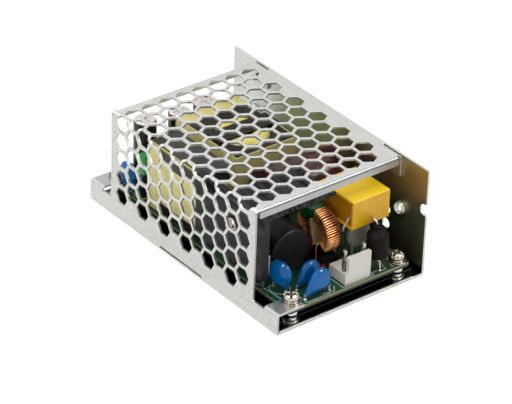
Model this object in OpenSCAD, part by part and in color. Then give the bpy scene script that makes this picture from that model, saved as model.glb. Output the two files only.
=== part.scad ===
// Enclosed switching power supply: a folded chassis and a perforated folded cover around a circuit board.
// Frame: +X towards the mains input end, +Y towards the solid side wall, +Z up, origin under the middle.

/* [Case] */
// Length of the case along X
case_l = 103.4; // [103:0.1:130]
// Width of the case along Y
case_w = 62; // [61.5:0.1:80]
// Height of the case
case_h = 40; // [39:0.1:60]
// Thickness of the sheet metal
sheet_t = 0.8; // [0.6:0.05:1.2]
// Inside radius of the folds
bend_r = 0.5; // [0.3:0.1:0.9]
// Clearance between the two folded halves
fit_gap = 0.1; // [0.05:0.05:0.3]
// Length of the locating tongue on the base
tongue_l = 22; // [10:1:40]
// Gap round the tongue in the cover's low wall
tongue_gap = 0.6; // [0.1:0.1:0.8]

/* [Side wall fixings] */
// Diameter of the fixing holes in the solid side wall
side_hole_d = 3.5; // [3:0.1:5]
// Distance of the fixing holes from the case's ends
side_hole_end = 12.3; // [9.7:0.1:14.7]
// Height of the fixing holes
side_hole_z = 20.3; // [12:0.1:26]
// Width of the open slot in the front edge
slot_w = 4.2; // [3:0.1:5]
// Depth of the open slot
slot_depth = 2.9; // [2.5:0.1:5]
// Height of the open slot
slot_z = 25; // [14:0.1:30]
// Diameter of the two vent holes beside the mains parts
vent_d = 3.6; // [2:0.1:4]
// Distance of the vent holes from the front end
vent_end = 19.3; // [16.7:0.1:25]
// Heights of the vent holes
vent_z = [10.7, 16.2]; // [8:0.1:22]

/* [Cover] */
// Open length of the case in front of the cover
front_open = 12.8; // [11:0.1:14]
// Open length of the case behind the cover
rear_open = 12.2; // [11:0.1:14]
// Height of the turned-down lips at both ends
lip_h = 3.3; // [2:0.1:5]
// Distance of the lip's ends from the side walls
lip_inset = 2; // [1.6:0.1:6]
// Slit between the lip's end and the ear
ear_slit = 0.4; // [0.2:0.1:2]
// Height of the ears inside the solid side wall
ear_h = 7.7; // [6:0.1:10]
// Length of the rear ear
rear_ear_l = 7.7; // [6:0.1:12]
// Length of the front ear
front_ear_l = 9.4; // [6:0.1:12]
// Length of the board tabs at the ends of the low wall
tab_l = 6.9; // [6.5:0.1:8]
// Reach of the board tabs over the board
tab_w = 11.2; // [10.8:0.1:13]

/* [Perforation] */
// Distance between neighbouring hexagons
hex_pitch = 7; // [6.5:0.1:7.2]
// Width of metal left between hexagons
hex_web = 1; // [0.8:0.1:2]
// Least width of metal left beside the pattern
hex_edge = 2.2; // [1.5:0.1:4]
// Centre height of the lowest row in the side wall
hex_low = 9.4; // [9:0.1:11]
// Length that the fold takes out of the pattern
fold_take = 0.9; // [0.5:0.1:1.5]

/* [Circuit board] */
// Gap between the board and the ends of the case
board_end_gap = 0.9; // [0.7:0.1:1.4]
// Gap between the board and the sides of the case
board_side_gap = 5.6; // [5.2:0.1:5.8]
// Thickness of the board
board_t = 1.6; // [1:0.1:2]
// Distance of the fixing holes from the board's edges
board_hole_inset = 3.175; // [3:0.025:3.5]
// Diameter of the fixing holes
board_hole_d = 3.4; // [3.2:0.1:3.6]
// Height of the standoffs above the base
standoff_h = 4.4; // [4:0.1:7]
// Diameter of the standoffs
standoff_d = 5; // [4.6:0.1:6]
// Diameter of the standoff's clinched foot
standoff_foot_d = 4.2; // [4:0.1:4.4]
// Thickness of the insulating film on the base
film_t = 0.2; // [0.1:0.05:0.4]
// Distance of the film from the case's ends
film_inset = 0.5; // [0.4:0.1:6]

/* [Fasteners] */
// Thread diameter of the screws
screw_d = 3; // [2.6:0.1:3]
// Clearance of the screws in threads and holes
screw_gap = 0.1; // [0.05:0.05:0.2]
// Diameter of the board screws' heads
head_d = 5.6; // [5:0.1:6]
// Height of the board screws' heads
head_h = 2; // [1.5:0.1:2.6]
// Diameter of the flat washers
washer_d = 6.6; // [6:0.1:7]
// Thickness of the flat washers
washer_t = 0.5; // [0.3:0.1:0.8]
// Thickness of the spring washers
spring_t = 0.8; // [0.5:0.1:1]
// Head diameter of the countersunk cover screws
flat_head_d = 5.2; // [4.6:0.1:5.4]
// Length of the cover screws
cover_screw_l = 4; // [3.5:0.1:6]

/* [Leads] */
// Diameter of the component leads
lead_d = 0.8; // [0.5:0.05:0.9]
// Clearance of leads in the board's holes
lead_gap = 0.1; // [0.05:0.05:0.2]
// Length of lead below the board
lead_tail = 1.2; // [0.6:0.1:2]

/* [Mains header] */
// Width of the header
header_w = 10.6; // [10:0.1:12]
// Depth of the header
header_d = 8.5; // [7:0.1:9]
// Height of the header's base
header_h = 4; // [3:0.1:5]
// Height of the locking wall
header_wall_h = 9.7; // [8:0.1:11]
// Thickness of the locking wall
header_wall_t = 1.4; // [1:0.1:1.8]
// Distance of the locking wall from the base's left end
header_wall_inset = 1.3; // [0:0.1:2]
// Width of the square pins
pin_w = 1.1; // [0.8:0.05:1.2]
// Distance between pin positions
pin_pitch = 3.96; // [3.5:0.01:4]
// Height of the pins above the board
pin_h = 11.7; // [10:0.1:13]
// Distance from the locking wall's face to the pins
pin_back = 2.6; // [2.3:0.1:3.2]

/* [Fuse] */
// Diameter of the sleeved fuse
fuse_d = 7.4; // [6:0.1:7.5]
// Length of the sleeved body below its shoulder
fuse_h = 8.2; // [7:0.1:9]
// Length of the sleeve's shoulder
fuse_shoulder = 3.2; // [2:0.1:4]
// Length of the sleeve's shrunk neck
fuse_neck_h = 1; // [0.8:0.1:2]
// Height of the fuse above the board
fuse_lift = 4.6; // [3:0.1:5.5]
// Lean of the fuse towards the header
fuse_lean = 5; // [3:0.5:8]

/* [Line capacitor] */
// Length of the box capacitor
box_l = 18; // [16:0.1:18.5]
// Width of the box capacitor
box_w = 15.4; // [13:0.1:15.8]
// Height of the box capacitor as it lies
box_h = 10.6; // [8:0.1:11]
// Height of the box capacitor above the board
box_lift = 14.6; // [14.4:0.1:16]

/* [Thermistor] */
// Diameter of the thermistor disc
ntc_d = 9.6; // [8:0.1:9.8]
// Thickness of the thermistor disc
ntc_t = 3.6; // [2:0.1:3.8]

/* [Choke] */
// Outside diameter of the ring core
ring_d = 14.8; // [14:0.1:15]
// Inside diameter of the ring core
ring_bore = 10; // [9.6:0.1:10.2]
// Width of the ring core
ring_w = 3.8; // [3:0.1:3.9]
// Diameter of the winding wire
wire_d = 0.95; // [0.8:0.05:1]
// Turns in each half winding
turns = 14; // [8:1:14]
// Arc that each half winding covers
wound_arc = 112; // [100:1:118]
// Turn of the ring on its base
ring_turn = 28; // [20:1:36]
// Thickness of the base under the ring
choke_base_h = 2.1; // [1.8:0.1:3]

/* [Disc capacitors] */
// Diameter of the disc capacitors
disc_d = 9.4; // [8:0.1:9.6]
// Thickness of the disc capacitors
disc_t = 3.6; // [2.6:0.1:3.8]

/* [Heatsink] */
// Length of the angled heatsink's leg
sink_l = 35.3; // [30:0.1:36]
// Length of its top flange
sink_top_l = 18.7; // [12:0.1:30]
// Thickness of its upright leg
sink_leg_t = 3; // [2:0.1:3]
// Thickness of its top flange
sink_top_t = 1.5; // [1:0.1:2]
// Width of its top flange
sink_w = 30.2; // [26:0.1:31]
// Gap between the heatsink and the cover's top
sink_gap = 3.6; // [3:0.1:3.8]
// Clearance between the heatsink and the board
sink_lift = 5; // [1:0.1:6]

/* [Wound parts and large capacitors] */
// Width of the main transformer over its tape
trafo_w = 12.2; // [11:0.1:13]
// Height of the main transformer's core
trafo_h = 24; // [20:0.1:24.5]
// Width of the flat inductor over its tape
coil_w = 25.6; // [22:0.1:26]
// Height of the flat inductor's top
coil_h = 26.8; // [24:0.1:27]
// Diameter of the inductor's round winding
coil_d = 19; // [14:0.1:19.5]
// Thickness of the yellow tape
tape_t = 0.4; // [0.2:0.1:0.6]
// Diameter of the bulk capacitor
bulk_d = 18; // [16:0.1:18.4]
// Length of the bulk capacitor
bulk_l = 29; // [24:0.1:29.2]
// Height of the bulk capacitor above the board
bulk_lift = 6.2; // [4:0.1:7]
// Diameter of the primary capacitor
prim_d = 16; // [13:0.1:16.2]
// Length of the primary capacitor
prim_l = 20; // [16:0.1:20.5]
// Diameter of the output capacitors
out_d = 8; // [6.3:0.1:8.4]
// Height of the output capacitors
out_h = 25; // [20:0.1:26]

/* [Hidden] */
$fn = 48;
tiny = 0.01;
half_l = case_l / 2;
half_w = case_w / 2;
fold_r = bend_r + sheet_t;
cover_x0 = rear_open - half_l;
cover_x1 = half_l - front_open;
side_hole_x = half_l - side_hole_end;
vent_x = half_l - vent_end;
rear_ear_x = cover_x0 + rear_ear_l;
front_ear_x = cover_x1 - front_ear_l;
wall_in = half_w - sheet_t;
ear_out = wall_in - fit_gap;

board_l = case_l - 2 * board_end_gap;
board_w = case_w - 2 * board_side_gap;
board_z = sheet_t + standoff_h;
board_top = board_z + board_t;
tab_top = board_top + sheet_t;
hole_x = board_l / 2 - board_hole_inset;
hole_y = board_w / 2 - board_hole_inset;
corners = [[hole_x, hole_y, 0], [hole_x, -hole_y, sheet_t], [-hole_x, hole_y, 0], [-hole_x, -hole_y, sheet_t]];

hex_r = (hex_pitch - hex_web) / sqrt(3);
hex_step = hex_pitch * sqrt(3) / 2;
hex_cols = floor((cover_x1 - cover_x0 - 2 * hex_edge - 2 * hex_r) / hex_step) + 1;
hex_x0 = (cover_x0 + cover_x1 - (hex_cols - 1) * hex_step) / 2;
wall_rows = floor((case_h - hex_low) / hex_pitch) + 1;

// Places are measured from the board's front, rear, left or right edge, or from its middle
function front(d) = board_l / 2 - d;
function rear(d) = d - board_l / 2;
function left(d) = d - board_w / 2;
function right(d) = board_w / 2 - d;

// A bent lead is a little slimmer where it enters the part
lead_stub_d = lead_d - 0.1;

header_x = front(1);
header_y = 3.9;
pin_x = header_x - pin_back;
pin_spots = [[pin_x, header_y - pin_pitch], [pin_x, header_y + pin_pitch]];

box_x1 = front(7.8);
box_y0 = right(19);
box_z = board_top + box_lift;
box_lead_x = 2.4;
box_foot_y = box_y0 - 0.05 - lead_d / 2;
box_spots = [[front(12.1), box_foot_y], [box_x1 - box_l + box_lead_x, box_foot_y]];

// The fuse leans about the middle of its lower end
fuse_x = box_x1 + 0.6 + fuse_d / 2;
fuse_y = right(11);
fuse_z = board_top + fuse_lift;
fuse_l = fuse_h + fuse_shoulder + fuse_neck_h;
fuse_neck_d = 3;
function fuse_axis(s) = [fuse_x, fuse_y - s * sin(fuse_lean), fuse_z + s * cos(fuse_lean)];
hook_x = box_x1 + 0.75;
hook_y = fuse_y - 3.2;
hook_z = fuse_axis(fuse_l)[2] + 1.6;
fuse_spots = [[fuse_x + 1.7, fuse_y - 0.5], [hook_x, hook_y]];

ntc_x = front(12);
ntc_y = right(12.8);
ntc_z = box_z - 0.3 - ntc_d / 2;
ntc_pitch = 5;
ntc_lead_z = ntc_z - ntc_d / 4;
ntc_spots = [for (s = [-1, 1]) [ntc_x, ntc_y + s * ntc_pitch / 2]];

wind_gap = 0.05;
wound_r = ring_d / 2 + wind_gap + wire_d;
wound_w = ring_w + 2 * (wind_gap + wire_d);
choke_x = front(20.2);
choke_y = 2.5;
choke_z = board_top + choke_base_h + wound_r + wind_gap;
choke_base_l = 14;
choke_spots = [for (sx = [-1, 1], sy = [-1, 1]) [choke_x + sx * 5, choke_y + sy * 2.4]];

// Disc capacitors: place of the middle between the leads, turn, lean, lead spacing, height of the disc's centre
discs = [
    [front(12.2), left(5.7), 105, 6, 5, 6.5],
    [front(8.4), left(14.8), 0, 0, 10, 5.6],
    [front(2.6), left(13.4), 0, 6, 10, 5.8],
    [rear(10.2), left(2.5), 90, 0, 5, 5.6],
];
function disc_spots(d) = [for (s = [-1, 1]) [d[0] - s * d[4] / 2 * sin(d[2]), d[1] + s * d[4] / 2 * cos(d[2])]];

sink_x1 = cover_x1 - 0.6;
sink_y0 = -board_w / 2 - 2;
sink_y1 = sink_y0 + sink_leg_t;
sink_top = case_h - sheet_t - sink_gap;
foot_t = 0.8;
foot_x = sink_x1 - 2.6;
foot_pin_x = foot_x - 1.3;
foot_spots = [[foot_pin_x, sink_y1 + foot_t / 2]];
fet_x = front(27.5);
fet_screw_z = board_top + 19.5;
fet_tab_t = 1.3;
fet_body_t = 3;
fet_w = 10;
fet_spots = [for (i = [-1, 0, 1]) [fet_x + i * 2.54, sink_y1 + fet_tab_t + fet_body_t / 2]];

// The wound parts fill the length that the capacitors leave free
trafo_x0 = rear(22.9);
trafo_x1 = front(49.2);
trafo_x = (trafo_x0 + trafo_x1) / 2;
trafo_l = trafo_x1 - trafo_x0;
trafo_y = left(7.5);
trafo_z = board_top + 1.2;
yoke_h = 5.5;
trafo_core_w = 5.8;
trafo_leg = trafo_l * 0.135;
trafo_mid = trafo_l * 0.27;
trafo_strap_l = trafo_l * 0.22;
trafo_band_z = board_top + 4.1;
trafo_rail_y = trafo_core_w / 2 + 1.5;
trafo_spots = [for (i = [-2:2], s = [-1, 1]) [trafo_x + i * trafo_l * 0.17, trafo_y + s * trafo_rail_y]];

coil_x0 = rear(16.9);
coil_x1 = front(51.1);
coil_x = (coil_x0 + coil_x1) / 2;
coil_l = coil_x1 - coil_x0;
coil_y = 4.6;
coil_core_h = 13;
coil_core_z = board_top + coil_h - 1 - coil_core_h;
coil_top = coil_core_z + coil_core_h;
coil_leg = 3.6;
coil_bore = min(coil_d, coil_l - 2 * coil_leg - 1) + 0.6;
coil_post = coil_bore * 0.42;
coil_bore_x = coil_x1 - coil_leg - coil_bore / 2;
coil_strap_l = coil_bore * 0.37;
coil_spots = [for (i = [-1.5:1.5], s = [-1, 1]) [coil_x + s * (coil_l / 2 - 2), coil_y + i * 5]];

bulk_x = front(41.1);
bulk_y0 = left(22.3);
bulk_z = board_top + bulk_lift + bulk_d / 2;
bulk_spots = [for (s = [-1, 1]) [bulk_x + s * 2.5, bulk_y0 - 1]];

prim_x1 = front(17.3);
prim_y = left(14.2);
prim_z = board_top + 0.2 + prim_d / 2;
prim_spots = [for (s = [-1, 1]) [prim_x1 - prim_l - 1, prim_y + s * 3.75]];

outs = [[rear(10.5), left(9)], [rear(12.6), -3.4], [rear(12.3), 7.4]];
out_sleeve_t = 0.3;
function out_spots(p) = [for (s = [-1, 1]) [p[0], p[1] + s * 1.75]];

out_header_n = 6;
out_header_x = rear(0.8);
out_header_y = 1;
out_header_d = 6.4;
out_pin_spots = [for (i = [0 : out_header_n - 1])
    [out_header_x + 3.6, out_header_y + (i - (out_header_n - 1) / 2) * pin_pitch]];

// Film capacitors: place of the middle, length, thickness, height, lead spacing
films = [
    [front(22), left(23.45), 7, 2.3, 8.5, 5],
    [rear(16.8), left(4), 3.6, 3.4, 14.9, 2.5],
];
function film_spots(f) = [for (s = [-1, 1]) [f[0] + s * f[5] / 2, f[1]]];

round_spots = concat(box_spots, fuse_spots, ntc_spots, choke_spots, fet_spots, trafo_spots, coil_spots, bulk_spots,
    prim_spots, [for (d = discs) each disc_spots(d)], [for (o = outs) each out_spots(o)],
    [for (f = films) each film_spots(f)]);
square_spots = concat(pin_spots, out_pin_spots, foot_spots);

// Shared shapes

// Carries a profile drawn in Y and Z along X
module along_x(x0, x1) {
    translate([x0, 0, 0]) rotate([90, 0, 90]) linear_extrude(x1 - x0) children();
}

// Carries a profile drawn in X and Z along Y
module along_y(y0, y1) {
    translate([0, y1, 0]) rotate([90, 0, 0]) linear_extrude(y1 - y0) children();
}

module block(x0, x1, y0, y1, z0, z1) {
    translate([x0, y0, z0]) cube([x1 - x0, y1 - y0, z1 - z0]);
}

// Section of folded sheet, with the outside corner at the origin and legs along both axes
module fold_section(a, b) {
    translate([fold_r, 0]) square([a - fold_r, sheet_t]);
    translate([0, fold_r]) square([sheet_t, b - fold_r]);
    intersection() {
        square(fold_r);
        translate([fold_r, fold_r]) difference() {
            circle(fold_r);
            circle(bend_r);
        }
    }
}

// Rectangle with round corners, centred on the origin
module round_rect(a, b, r) {
    square([a - 2 * r, b], center = true);
    square([a, b - 2 * r], center = true);
    for (sx = [-1, 1], sy = [-1, 1]) translate([sx * (a / 2 - r), sy * (b / 2 - r)]) circle(r);
}

// Round lead through the board, up to a height above it
module lead(spot, z) {
    translate([spot[0], spot[1], board_z - lead_tail]) cylinder(d = lead_d, h = z - board_z + lead_tail);
}

// Square pin through the board, up to a height above it
module pin(spot, w, z) {
    block(spot[0] - w / 2, spot[0] + w / 2, spot[1] - w / 2, spot[1] + w / 2, board_z - lead_tail, z);
}

// Straight piece of wire between two points
module rod(p, q, d) {
    v = q - p;
    translate(p) rotate([0, acos(v[2] / norm(v)), atan2(v[1], v[0])]) cylinder(d = d, h = norm(v));
}

module at_corners() {
    for (c = corners) translate([c[0], c[1], board_top + c[2]]) children();
}

// Case

module chassis() color("lightgray") difference() {
    union() {
        along_x(-half_l, half_l) translate([half_w, 0]) mirror([1, 0])
            fold_section(case_w - sheet_t - fit_gap, case_h);
        block(-tongue_l / 2, tongue_l / 2, -half_w, -wall_in + 1, 0, sheet_t);
    }
    block(rear_ear_x, front_ear_x, wall_in - 1, half_w + 1, case_h - sheet_t - fit_gap, case_h + 1);
    for (c = corners) translate([c[0], c[1], -1]) cylinder(d = standoff_foot_d, h = sheet_t + 2);
    for (sx = [-1, 1]) translate([sx * side_hole_x, wall_in - 1, side_hole_z]) rotate([-90, 0, 0])
        cylinder(d = side_hole_d, h = sheet_t + 2);
    for (z = vent_z) translate([vent_x, wall_in - 1, z]) rotate([-90, 0, 0]) cylinder(d = vent_d, h = sheet_t + 2);
    along_y(wall_in - 1, half_w + 1) translate([half_l - slot_depth + slot_w / 2, slot_z]) {
        circle(d = slot_w);
        translate([0, -slot_w / 2]) square([slot_depth, slot_w]);
    }
    cover_screw_places() {
        cylinder(d = screw_d + 2 * screw_gap, h = cover_screw_l, center = true);
        flat_head(screw_gap);
    }
}

// Axis points into the case from the outer face of the solid wall, at both ears
module cover_screw_places() {
    for (x = [(cover_x0 + rear_ear_x) / 2, (cover_x1 + front_ear_x) / 2])
        translate([x, half_w, case_h - ear_h / 2 - sheet_t / 2]) rotate([90, 0, 0]) children();
}

module flat_head(gap) {
    cylinder(d1 = flat_head_d + 2 * gap, d2 = screw_d + 2 * gap, h = sheet_t);
}

module cover() color("lightgray") difference() {
    union() {
        difference() {
            cover_fold();
            cover_end_cuts();
        }
        cover_lips();
        cover_ears();
        block(rear_ear_x + fit_gap, front_ear_x - fit_gap, ear_out - 1, half_w, case_h - sheet_t, case_h);
        board_tabs();
    }
    perforation();
    block(-tongue_l / 2 - tongue_gap, tongue_l / 2 + tongue_gap, -half_w - 1, -wall_in + 1, -1,
        sheet_t + tongue_gap);
    at_corners() translate([0, 0, -sheet_t - 1]) cylinder(d = board_hole_d, h = sheet_t + 2);
    cover_screw_places() cylinder(d = screw_d + 2 * screw_gap, h = cover_screw_l + 2);
}

module cover_fold() {
    along_x(cover_x0, cover_x1) translate([-half_w, case_h]) mirror([0, 1])
        fold_section(half_w + ear_out, case_h);
}

// Room for the folded edges of the top
module cover_end_cuts() {
    for (x = [cover_x0, cover_x1 - fold_r])
        block(x - tiny, x + fold_r + tiny, -half_w + lip_inset, ear_out - fold_r, case_h - 2 * fold_r, case_h + 1);
    for (x = [[cover_x0, rear_ear_x], [front_ear_x, cover_x1]])
        block(x[0] - tiny, x[1], ear_out - fold_r, ear_out + 1, case_h - 2 * fold_r, case_h + 1);
}

module cover_lips() along_y(-half_w + lip_inset, ear_out - fold_r - ear_slit) {
    translate([cover_x1, case_h]) rotate(180) fold_section(fold_r + tiny, lip_h);
    translate([cover_x0, case_h]) mirror([0, 1]) fold_section(fold_r + tiny, lip_h);
}

module cover_ears() for (x = [[cover_x0, rear_ear_x], [front_ear_x, cover_x1]])
    along_x(x[0], x[1]) translate([ear_out, case_h]) rotate(180) fold_section(fold_r + tiny, ear_h);

// Low wall along the whole case, with a tab folded over the board at each end
module board_tabs() {
    block(-half_l, half_l, -half_w, -wall_in, 0, tab_top - fold_r);
    for (x = [-half_l, half_l - tab_l])
        along_x(x, x + tab_l) translate([-half_w, tab_top]) mirror([0, 1]) fold_section(tab_w, tab_top);
}

// Hexagons of the top and of the side wall, which run on through the fold between them
module perforation() {
    top_y0 = hex_low + (wall_rows - 1) * hex_pitch + fold_take - case_h - half_w;
    top_room = ear_out - fold_r - hex_edge - (hex_pitch - hex_web) / 2 - top_y0;
    for (k = [0 : hex_cols - 1]) {
        shift = k % 2 == 0 ? 0 : hex_pitch / 2;
        translate([hex_x0 + k * hex_step, 0, 0]) {
            for (j = [0 : floor((top_room - shift) / hex_pitch)])
                translate([0, top_y0 + shift + j * hex_pitch, case_h - fold_r])
                    cylinder(r = hex_r, h = fold_r + 1, $fn = 6);
            for (j = [0 : wall_rows - 1]) translate([0, -half_w - 1, hex_low + shift + j * hex_pitch])
                rotate([-90, 0, 0]) cylinder(r = hex_r, h = fold_r + 1, $fn = 6);
        }
    }
}

module cover_screws() color("silver") cover_screw_places() difference() {
    union() {
        flat_head(0);
        cylinder(d = screw_d, h = cover_screw_l);
    }
    cross_recess(0, 1.6);
}

// Cross-shaped drive recess, cut upwards from a depth
module cross_recess(z, l) {
    for (a = [0, 90]) rotate(a) translate([-l, -0.35, z - 1]) cube([2 * l, 0.7, 1.6]);
}

module floor_insulator() color("black") difference() {
    block(-half_l + film_inset, half_l - film_inset, -wall_in + 1, wall_in - fold_r, sheet_t, sheet_t + film_t);
    for (c = corners) translate([c[0], c[1], 0]) cylinder(d = standoff_d + 1, h = standoff_h);
}

// Board and its fixings

module board_standoffs() color("silver") for (c = corners) translate([c[0], c[1], 0]) difference() {
    union() {
        cylinder(d = standoff_foot_d, h = sheet_t);
        translate([0, 0, sheet_t]) cylinder(d = standoff_d, h = standoff_h);
    }
    translate([0, 0, -1]) cylinder(d = screw_d + 2 * screw_gap, h = board_z + 2);
}

module circuit_board() color("darkgreen") translate([0, 0, board_z]) linear_extrude(board_t) difference() {
    round_rect(board_l, board_w, 1);
    for (c = corners) translate([c[0], c[1]]) circle(d = board_hole_d);
    for (s = round_spots) translate(s) circle(d = lead_d + 2 * lead_gap, $fn = 24);
    for (s = square_spots) translate(s) circle(d = pin_w * sqrt(2) + 2 * lead_gap, $fn = 24);
}

module flat_washers() color("silver") at_corners() difference() {
    cylinder(d = washer_d, h = washer_t);
    translate([0, 0, -1]) cylinder(d = board_hole_d, h = washer_t + 2);
}

// Split rings, pressed flat under the heads
module spring_washers() color("silver") at_corners() translate([0, 0, washer_t]) difference() {
    cylinder(d = head_d, h = spring_t);
    translate([0, 0, -1]) cylinder(d = board_hole_d, h = spring_t + 2);
    translate([0, -0.3, -1]) rotate(20) cube([head_d, 0.6, spring_t + 2]);
}

module board_screws() color("silver") at_corners() translate([0, 0, washer_t + spring_t]) difference() {
    union() {
        rotate_extrude() pan_section();
        shank = washer_t + spring_t + sheet_t + board_t + standoff_h - 0.6;
        translate([0, 0, -shank]) cylinder(d = screw_d, h = shank);
    }
    cross_recess(head_h, head_d / 3);
}

// Half section of a pan head with a rounded shoulder
module pan_section() {
    shoulder = head_h * 0.55;
    square([head_d / 2, head_h - shoulder]);
    square([head_d / 2 - shoulder, head_h]);
    translate([head_d / 2 - shoulder, head_h - shoulder]) intersection() {
        circle(shoulder);
        square(shoulder);
    }
}

// Heatsink and its transistor

module heatsink() color([0.12, 0.12, 0.13]) difference() {
    union() {
        along_x(sink_x1 - sink_l, sink_x1)
            translate([sink_y0, board_top + sink_lift]) square([sink_leg_t, sink_top - board_top - sink_lift]);
        along_x(sink_x1 - sink_top_l, sink_x1) {
            translate([sink_y0, sink_top - sink_top_t]) square([sink_w - sink_top_t / 2, sink_top_t]);
            translate([sink_y0 + sink_w - sink_top_t / 2, sink_top - sink_top_t / 2]) circle(d = sink_top_t);
        }
    }
    translate([fet_x, sink_y0 - 1, fet_screw_z]) rotate([-90, 0, 0])
        cylinder(d = screw_d + 2 * screw_gap, h = sink_leg_t + 2);
}

// Head outside the leg, shank through the leg and the transistor's tab
module heatsink_screw() color("silver") translate([fet_x, sink_y0, fet_screw_z]) rotate([90, 0, 0]) difference() {
    union() {
        rotate_extrude() pan_section();
        translate([0, 0, -sink_leg_t - fet_tab_t]) cylinder(d = screw_d, h = sink_leg_t + fet_tab_t);
    }
    cross_recess(head_h, head_d / 3);
}

// Plated tag on the inside of the leg, with a pin into the board
module heatsink_foot() color("gainsboro") {
    block(foot_x - 2.2, foot_x + 2.2, sink_y1, sink_y1 + foot_t, board_top + sink_lift + 1.5, board_top + 13.6);
    block(foot_pin_x - 1, foot_pin_x + 1, sink_y1, sink_y1 + foot_t, board_top, board_top + sink_lift + 1.6);
    block(foot_pin_x - foot_t / 2, foot_pin_x + foot_t / 2, sink_y1, sink_y1 + foot_t, board_z - lead_tail,
        board_top + 0.1);
}

module transistor() color([0.1, 0.1, 0.1])
    block(fet_x - fet_w / 2, fet_x + fet_w / 2, sink_y1 + fet_tab_t, sink_y1 + fet_tab_t + fet_body_t,
        fet_screw_z - 12, fet_screw_z - 3);

module transistor_tab() color("silver") difference() {
    block(fet_x - fet_w / 2, fet_x + fet_w / 2, sink_y1, sink_y1 + fet_tab_t, fet_screw_z - 12, fet_screw_z + 3);
    translate([fet_x, sink_y1 - 1, fet_screw_z]) rotate([-90, 0, 0])
        cylinder(d = screw_d + 2 * screw_gap, h = fet_tab_t + 2);
}

module transistor_leads() color("silver") for (s = fet_spots) lead(s, fet_screw_z - 12);

// Main transformer: an E core on edge, its winding, tape band and bobbin

module trafo_at(z) translate([trafo_x, trafo_y, z]) children();

module transformer_core() color([0.2, 0.19, 0.2]) trafo_at(trafo_z) difference() {
    union() {
        along_y(-trafo_core_w / 2, trafo_core_w / 2)
            translate([-trafo_l / 2 + tape_t, 0]) square([trafo_l - 2 * tape_t, trafo_h]);
        translate([-trafo_l / 2 + tape_t, -trafo_w / 2 + 0.1, trafo_h - yoke_h])
            cube([trafo_l - 2 * tape_t, trafo_w - 0.2, yoke_h]);
    }
    for (s = [-1, 1]) {
        inner = trafo_l / 2 - tape_t - trafo_leg;
        x = s > 0 ? trafo_mid / 2 : -inner;
        translate([x, -trafo_core_w, yoke_h]) cube([inner - trafo_mid / 2, 2 * trafo_core_w, trafo_h - 2 * yoke_h]);
    }
}

// Winding round the middle leg, inside the windows and swelling out at both sides
module transformer_winding() color("goldenrod") trafo_at(trafo_z + yoke_h + 1) linear_extrude(trafo_h - 2 * yoke_h - 2)
    difference() {
        round_rect(trafo_l - 2 * tape_t - 2 * trafo_leg - 0.4, trafo_w - 2 * tape_t, 3);
        square([trafo_mid + 0.4, trafo_core_w + 0.4], center = true);
    }

// Band of tape round the legs and the winding, and a strap up both sides of the core's rear end
module transformer_tape() color("khaki") {
    top = trafo_z + trafo_h;
    trafo_at(trafo_band_z) linear_extrude(top - yoke_h - trafo_band_z - 0.05) difference() {
        round_rect(trafo_l, trafo_w, 3);
        round_rect(trafo_l - 2 * tape_t, trafo_w - 2 * tape_t, 3 - tape_t);
    }
    trafo_at(board_top + 0.4) translate([-trafo_l / 2, 0, 0]) difference() {
        translate([0, -trafo_w / 2 - tape_t, 0])
            cube([trafo_strap_l, trafo_w + 2 * tape_t, top - 1.6 - board_top - 0.4]);
        translate([-1, -trafo_w / 2 + tiny, -1]) cube([trafo_l, trafo_w - 2 * tiny, top - board_top + 0.6]);
    }
}

// Pin rails below the core, beside its lower yoke
module transformer_bobbin() color([0.08, 0.08, 0.08]) for (s = [-1, 1])
    trafo_at(board_top) translate([-trafo_l / 2 + 3, s * trafo_rail_y - 1.2, 0])
        cube([trafo_l - 6, 2.4, trafo_z + yoke_h - board_top]);

module transformer_pins() color("silver") for (s = trafo_spots) lead(s, board_top - tiny);

// Flat inductor: an E core lying flat, with tape round its edge

module coil_at(z) translate([coil_x, coil_y, z]) children();

module inductor_core() color([0.2, 0.19, 0.2]) coil_at(coil_core_z) {
    difference() {
        translate([-coil_l / 2 + tape_t, -coil_w / 2 + tape_t, 0])
            cube([coil_l - 2 * tape_t, coil_w - 2 * tape_t, coil_core_h]);
        translate([coil_bore_x - coil_x, 0, 4]) cylinder(d = coil_bore, h = coil_core_h);
    }
    translate([coil_bore_x - coil_x, 0, 0]) cylinder(d = coil_post, h = coil_core_h - 1);
}

// Round winding on the middle post, standing a little above the core
module inductor_winding() color("gold") translate([coil_bore_x, coil_y, coil_core_z + 4]) rotate_extrude()
    difference() {
        winding_section(coil_bore / 2 - 0.3, coil_core_h - 3.2, 2.4);
        translate([0, -1]) square([coil_post / 2 + 0.2, coil_core_h + 2]);
    }

// Half section with a rounded upper edge
module winding_section(r, h, edge) {
    square([r, h - edge]);
    square([r - edge, h]);
    translate([r - edge, h - edge]) circle(edge);
}

// Band of tape round the core's sides, and a strip over its rear end
module inductor_tape() color("khaki") {
    coil_at(coil_core_z) linear_extrude(coil_core_h) difference() {
        square([coil_l, coil_w], center = true);
        square([coil_l - 2 * tape_t, coil_w - 2 * tape_t], center = true);
    }
    block(coil_x0, min(coil_x0 + 6, coil_bore_x - coil_bore / 2), coil_y - coil_w / 2, coil_y + coil_w / 2, coil_top,
        coil_top + tape_t);
}

// Two pin rails that carry the core, and a bar across the winding's top
module inductor_bobbin() color([0.08, 0.08, 0.08]) {
    for (s = [-1, 1]) coil_at(board_top) translate([s * (coil_l / 2 - 2), 0, (coil_core_z - board_top) / 2])
        cube([3.4, coil_w - 4, coil_core_z - board_top], center = true);
    translate([coil_bore_x - coil_strap_l / 2, coil_y, coil_top]) {
        translate([0, -coil_w / 2 + tape_t, 0.85]) cube([coil_strap_l, coil_w - 2 * tape_t, 0.7]);
        for (s = [-1, 1]) translate([0, s * (coil_w / 2 - tape_t - 0.8) - 0.8, 0]) cube([coil_strap_l, 1.6, 1]);
    }
}

module inductor_pins() color("silver") for (s = coil_spots) lead(s, board_top - tiny);

// Electrolytic capacitors

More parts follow.
